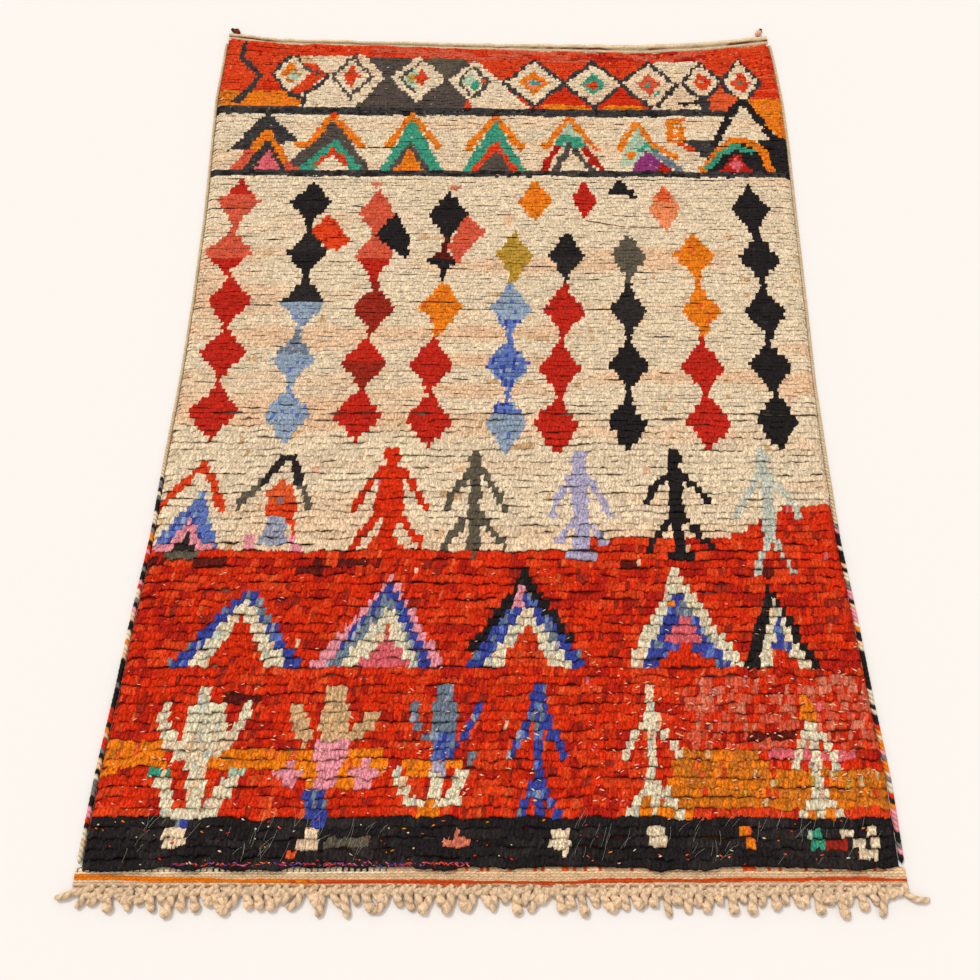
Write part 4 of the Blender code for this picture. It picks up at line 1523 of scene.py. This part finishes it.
def thread_fibre(thread):
    bends = np.array(thread["bends"])
    share = np.linspace(0.0, len(bends) - 1.0, THREAD_RINGS)
    x, along = (np.interp(share, np.arange(len(bends)), bends[:, axis]) for axis in (0, 1))
    path = np.array([(ax, *resting_place(ax, ay)) for ax, ay in zip(x, along)]) + (0.0, 0.0, 0.0005)
    return fibre(path, np.full(THREAD_RINGS, thread["girth"]), THREAD_SIDES, thread["yarn"])


def build_strays(material):
    tubes = []
    for draw, columns, table in ((stray, STRAY_COLUMNS, STRAYS), (lint_fibre, LINT_COLUMNS, LINT)):
        for group in as_rows(columns, table):
            dice = random.Random(group["seed"])
            tubes += [draw(group, dice) for _ in range(group["count"])]
    tubes += [thread_fibre(thread) for thread in as_rows(THREAD_COLUMNS, THREADS)]
    return build_tubes("stray_fibres", tubes, material)


# Materials: wool in curls, with painted light on the curls and painted shade in the gaps between them; the
# tones are these two. The tones change to the far ones from CALMS_FROM to CALM_AT along the rug, where the
# pile is clipped shorter.

WOOL_COLUMNS = ("use", "name", "curl", "depth", "strength", "tones", "far_tones")
WOOLS = (
    ("pile", "knotted_wool", 0.0050, 0.0020, 0.7, (1.29, 0.62), (1.14, 0.72)),
    ("weave", "woven_wool", 0.0030, 0.0006, 0.4, (1.15, 0.90), None),
    ("cord", "cord_wool", 0.0030, 0.0005, 0.4, (1.08, 0.88), None),
)
CALMS_FROM = 0.38
CALM_AT = 1.10
STRANDS_RUN = (1.25, 0.62, 1.0)
CURL_GAP = (0.30, 0.72)
CURL_TONES = (0.86, 1.16)
FIBRE_RANGE = (0.30, 0.70)
FIBRE_TONES = (0.76, 1.22)


def new_material(name, roughness=0.92, shine=0.08):
    material = bpy.data.materials.new(name)
    material.use_nodes = True
    shader = material.node_tree.nodes["Principled BSDF"]
    shader.inputs["Roughness"].default_value = roughness
    shader.inputs["Specular IOR Level"].default_value = shine
    return material, shader


class Graph:
    """A material's nodes, each made with its sockets set to a value or linked to another node's output."""

    def __init__(self, material):
        self.tree = material.node_tree

    def add(self, kind, sockets=(), **settings):
        node = self.tree.nodes.new("ShaderNode" + kind)
        for name, value in settings.items():
            setattr(node, name, value)
        for socket, value in dict(sockets).items():
            self.feed(node.inputs[socket], value)
        return node.outputs

    def feed(self, socket, value):
        if isinstance(value, bpy.types.NodeSocket):
            self.tree.links.new(value, socket)
        else:
            socket.default_value = value

    def scaled(self, value, source, target):
        """Carries a value from one range to another."""
        low, high = source
        to_low, to_high = target
        return self.add("MapRange", {
            "Value": value, "From Min": low, "From Max": high, "To Min": to_low, "To Max": to_high,
        })["Result"]

    def product(self, *factors):
        total = factors[0]
        for factor in factors[1:]:
            total = self.add("Math", {0: total, 1: factor}, operation="MULTIPLY")["Value"]
        return total


def wool_with_painted_shade(wool):
    """Wool in the colours of the knots, in curls a few millimetres across, with painted light and shade."""
    curl = wool["curl"]
    material, shader = new_material(wool["name"])
    graph = Graph(material)
    dye_and_shade = graph.add("Attribute", attribute_name="dye_and_shade")["Color"]
    place = graph.add("TexCoord")["Object"]
    warp = graph.add("TexNoise", {"Vector": place, "Scale": 0.45 / curl, "Detail": 1.0})["Color"]
    swing = (1.6 * curl, 1.6 * curl, 1.6 * curl)
    shifted = graph.add("VectorMath", {0: warp, 1: swing, 2: place}, operation="MULTIPLY_ADD")["Vector"]
    drawn = graph.add("VectorMath", {0: shifted, 1: STRANDS_RUN}, operation="MULTIPLY")["Vector"]
    curls = graph.add("TexVoronoi", {"Vector": drawn, "Scale": 1.0 / curl})
    grain = {"Vector": place, "Scale": 2.6 / curl, "Detail": 3.0, "Roughness": 0.6}
    fine = graph.scaled(graph.add("TexNoise", grain)["Fac"], FIBRE_RANGE, FIBRE_TONES)
    each = graph.add("SeparateColor", {"Color": curls["Color"]})["Red"]
    own = graph.scaled(each, (0.0, 1.0), CURL_TONES)
    gap = curls["Distance"]
    # Tone: painted light on each curl and painted shade in its gaps, times each curl's own tone and the
    # fibres' grain; it also raises the bumps.
    tone = graph.product(graph.scaled(gap, CURL_GAP, wool["tones"]), own, fine)
    if wool["far_tones"]:
        far_tone = graph.product(graph.scaled(gap, CURL_GAP, wool["far_tones"]), own, fine)
        along = graph.add("SeparateXYZ", {"Vector": place})["Y"]
        share = graph.scaled(along, (CALMS_FROM + SHIFT.y, CALM_AT + SHIFT.y), (0.0, 1.0))
        tone = graph.add("Mix", {"Factor": share, "A": tone, "B": far_tone})["Result"]
    mixed = graph.add("VectorMath", {0: dye_and_shade, "Scale": tone}, operation="SCALE")["Vector"]
    relief = {"Strength": wool["strength"], "Distance": wool["depth"], "Height": tone}
    graph.feed(shader.inputs["Base Color"], mixed)
    graph.feed(shader.inputs["Normal"], graph.add("Bump", relief)["Normal"])
    return material


# The room: floor, light and camera

CAMERA_PLACE = (0.013, -0.199, 2.075)
CAMERA_TURN = (26.206, 0.298, 0.658)
FOCAL_SHARE = 1000.0 / 980.0
SENSOR_WIDTH = 36.0
WARM_LIGHT = (1.0, 0.970, 0.925)
SKY_STRENGTH = 0.84
SUN_ENERGY = 1.75
SUN_ANGLE = 16.0
SUN_FROM = (-0.42, 0.50, 1.0)
FLOOR_HALF_SIZE = 12.0
FLOOR_SHOWS_AS = (253, 246, 239)
FLOOR_LIGHT = 1.29


def build_floor():
    mesh = bpy.data.meshes.new("floor")
    half = FLOOR_HALF_SIZE
    corners = [(-half, -half, 0.0), (half, -half, 0.0), (half, half, 0.0), (-half, half, 0.0)]
    mesh.from_pydata(corners, [], [(0, 1, 2, 3)])
    floor = bpy.data.objects.new("floor", mesh)
    bpy.context.scene.collection.objects.link(floor)
    material, shader = new_material("pale_floor", roughness=0.9, shine=0.0)
    shade = linear(FLOOR_SHOWS_AS) / (np.array(WARM_LIGHT) * FLOOR_LIGHT)
    shader.inputs["Base Color"].default_value = (*shade, 1.0)
    mesh.materials.append(material)


def build_light():
    world = bpy.data.worlds.new("soft_room")
    world.use_nodes = True
    background = world.node_tree.nodes["Background"]
    background.inputs["Color"].default_value = (*WARM_LIGHT, 1.0)
    background.inputs["Strength"].default_value = SKY_STRENGTH
    bpy.context.scene.world = world
    lamp = bpy.data.lights.new("daylight", "SUN")
    lamp.energy = SUN_ENERGY
    lamp.color = WARM_LIGHT
    lamp.angle = math.radians(SUN_ANGLE)
    daylight = bpy.data.objects.new("daylight", lamp)
    daylight.rotation_euler = Vector(SUN_FROM).to_track_quat("Z", "Y").to_euler()
    bpy.context.scene.collection.objects.link(daylight)


def build_camera():
    lens = bpy.data.cameras.new("photo_view")
    lens.sensor_width = SENSOR_WIDTH
    lens.lens = FOCAL_SHARE * SENSOR_WIDTH
    camera = bpy.data.objects.new("photo_view", lens)
    camera.location = Vector(CAMERA_PLACE) + SHIFT
    camera.rotation_euler = Euler([math.radians(angle) for angle in CAMERA_TURN])
    bpy.context.scene.collection.objects.link(camera)
    bpy.context.scene.camera = camera
    bpy.context.scene.view_settings.view_transform = "Standard"


def main():
    materials = {wool["use"]: wool_with_painted_shade(wool) for wool in as_rows(WOOL_COLUMNS, WOOLS)}
    cord = materials["cord"]
    zones = {zone["name"]: zone for zone in as_rows(ZONE_COLUMNS, PILE_ZONES)}
    pieces = as_rows(PIECE_COLUMNS, PILE_PIECES)
    pile = [build_pile(piece, zones[piece["zone"]], materials["pile"]) for piece in pieces]
    ground = build_ground("ground_weave", materials["weave"])
    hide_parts("rug")
    bindings = [build_binding("binding_left", LEFT, cord), build_binding("binding_right", RIGHT, cord)]
    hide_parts("edge_binding_left")
    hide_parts("edge_binding_right")
    fringe = build_fringe(cord)
    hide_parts("fringe")
    strays = build_strays(cord)
    ties = [build_tie(tie, cord) for tie in as_rows(CORNER_TIE_COLUMNS, CORNER_TIES)]
    build_floor()
    build_light()
    build_camera()


main()
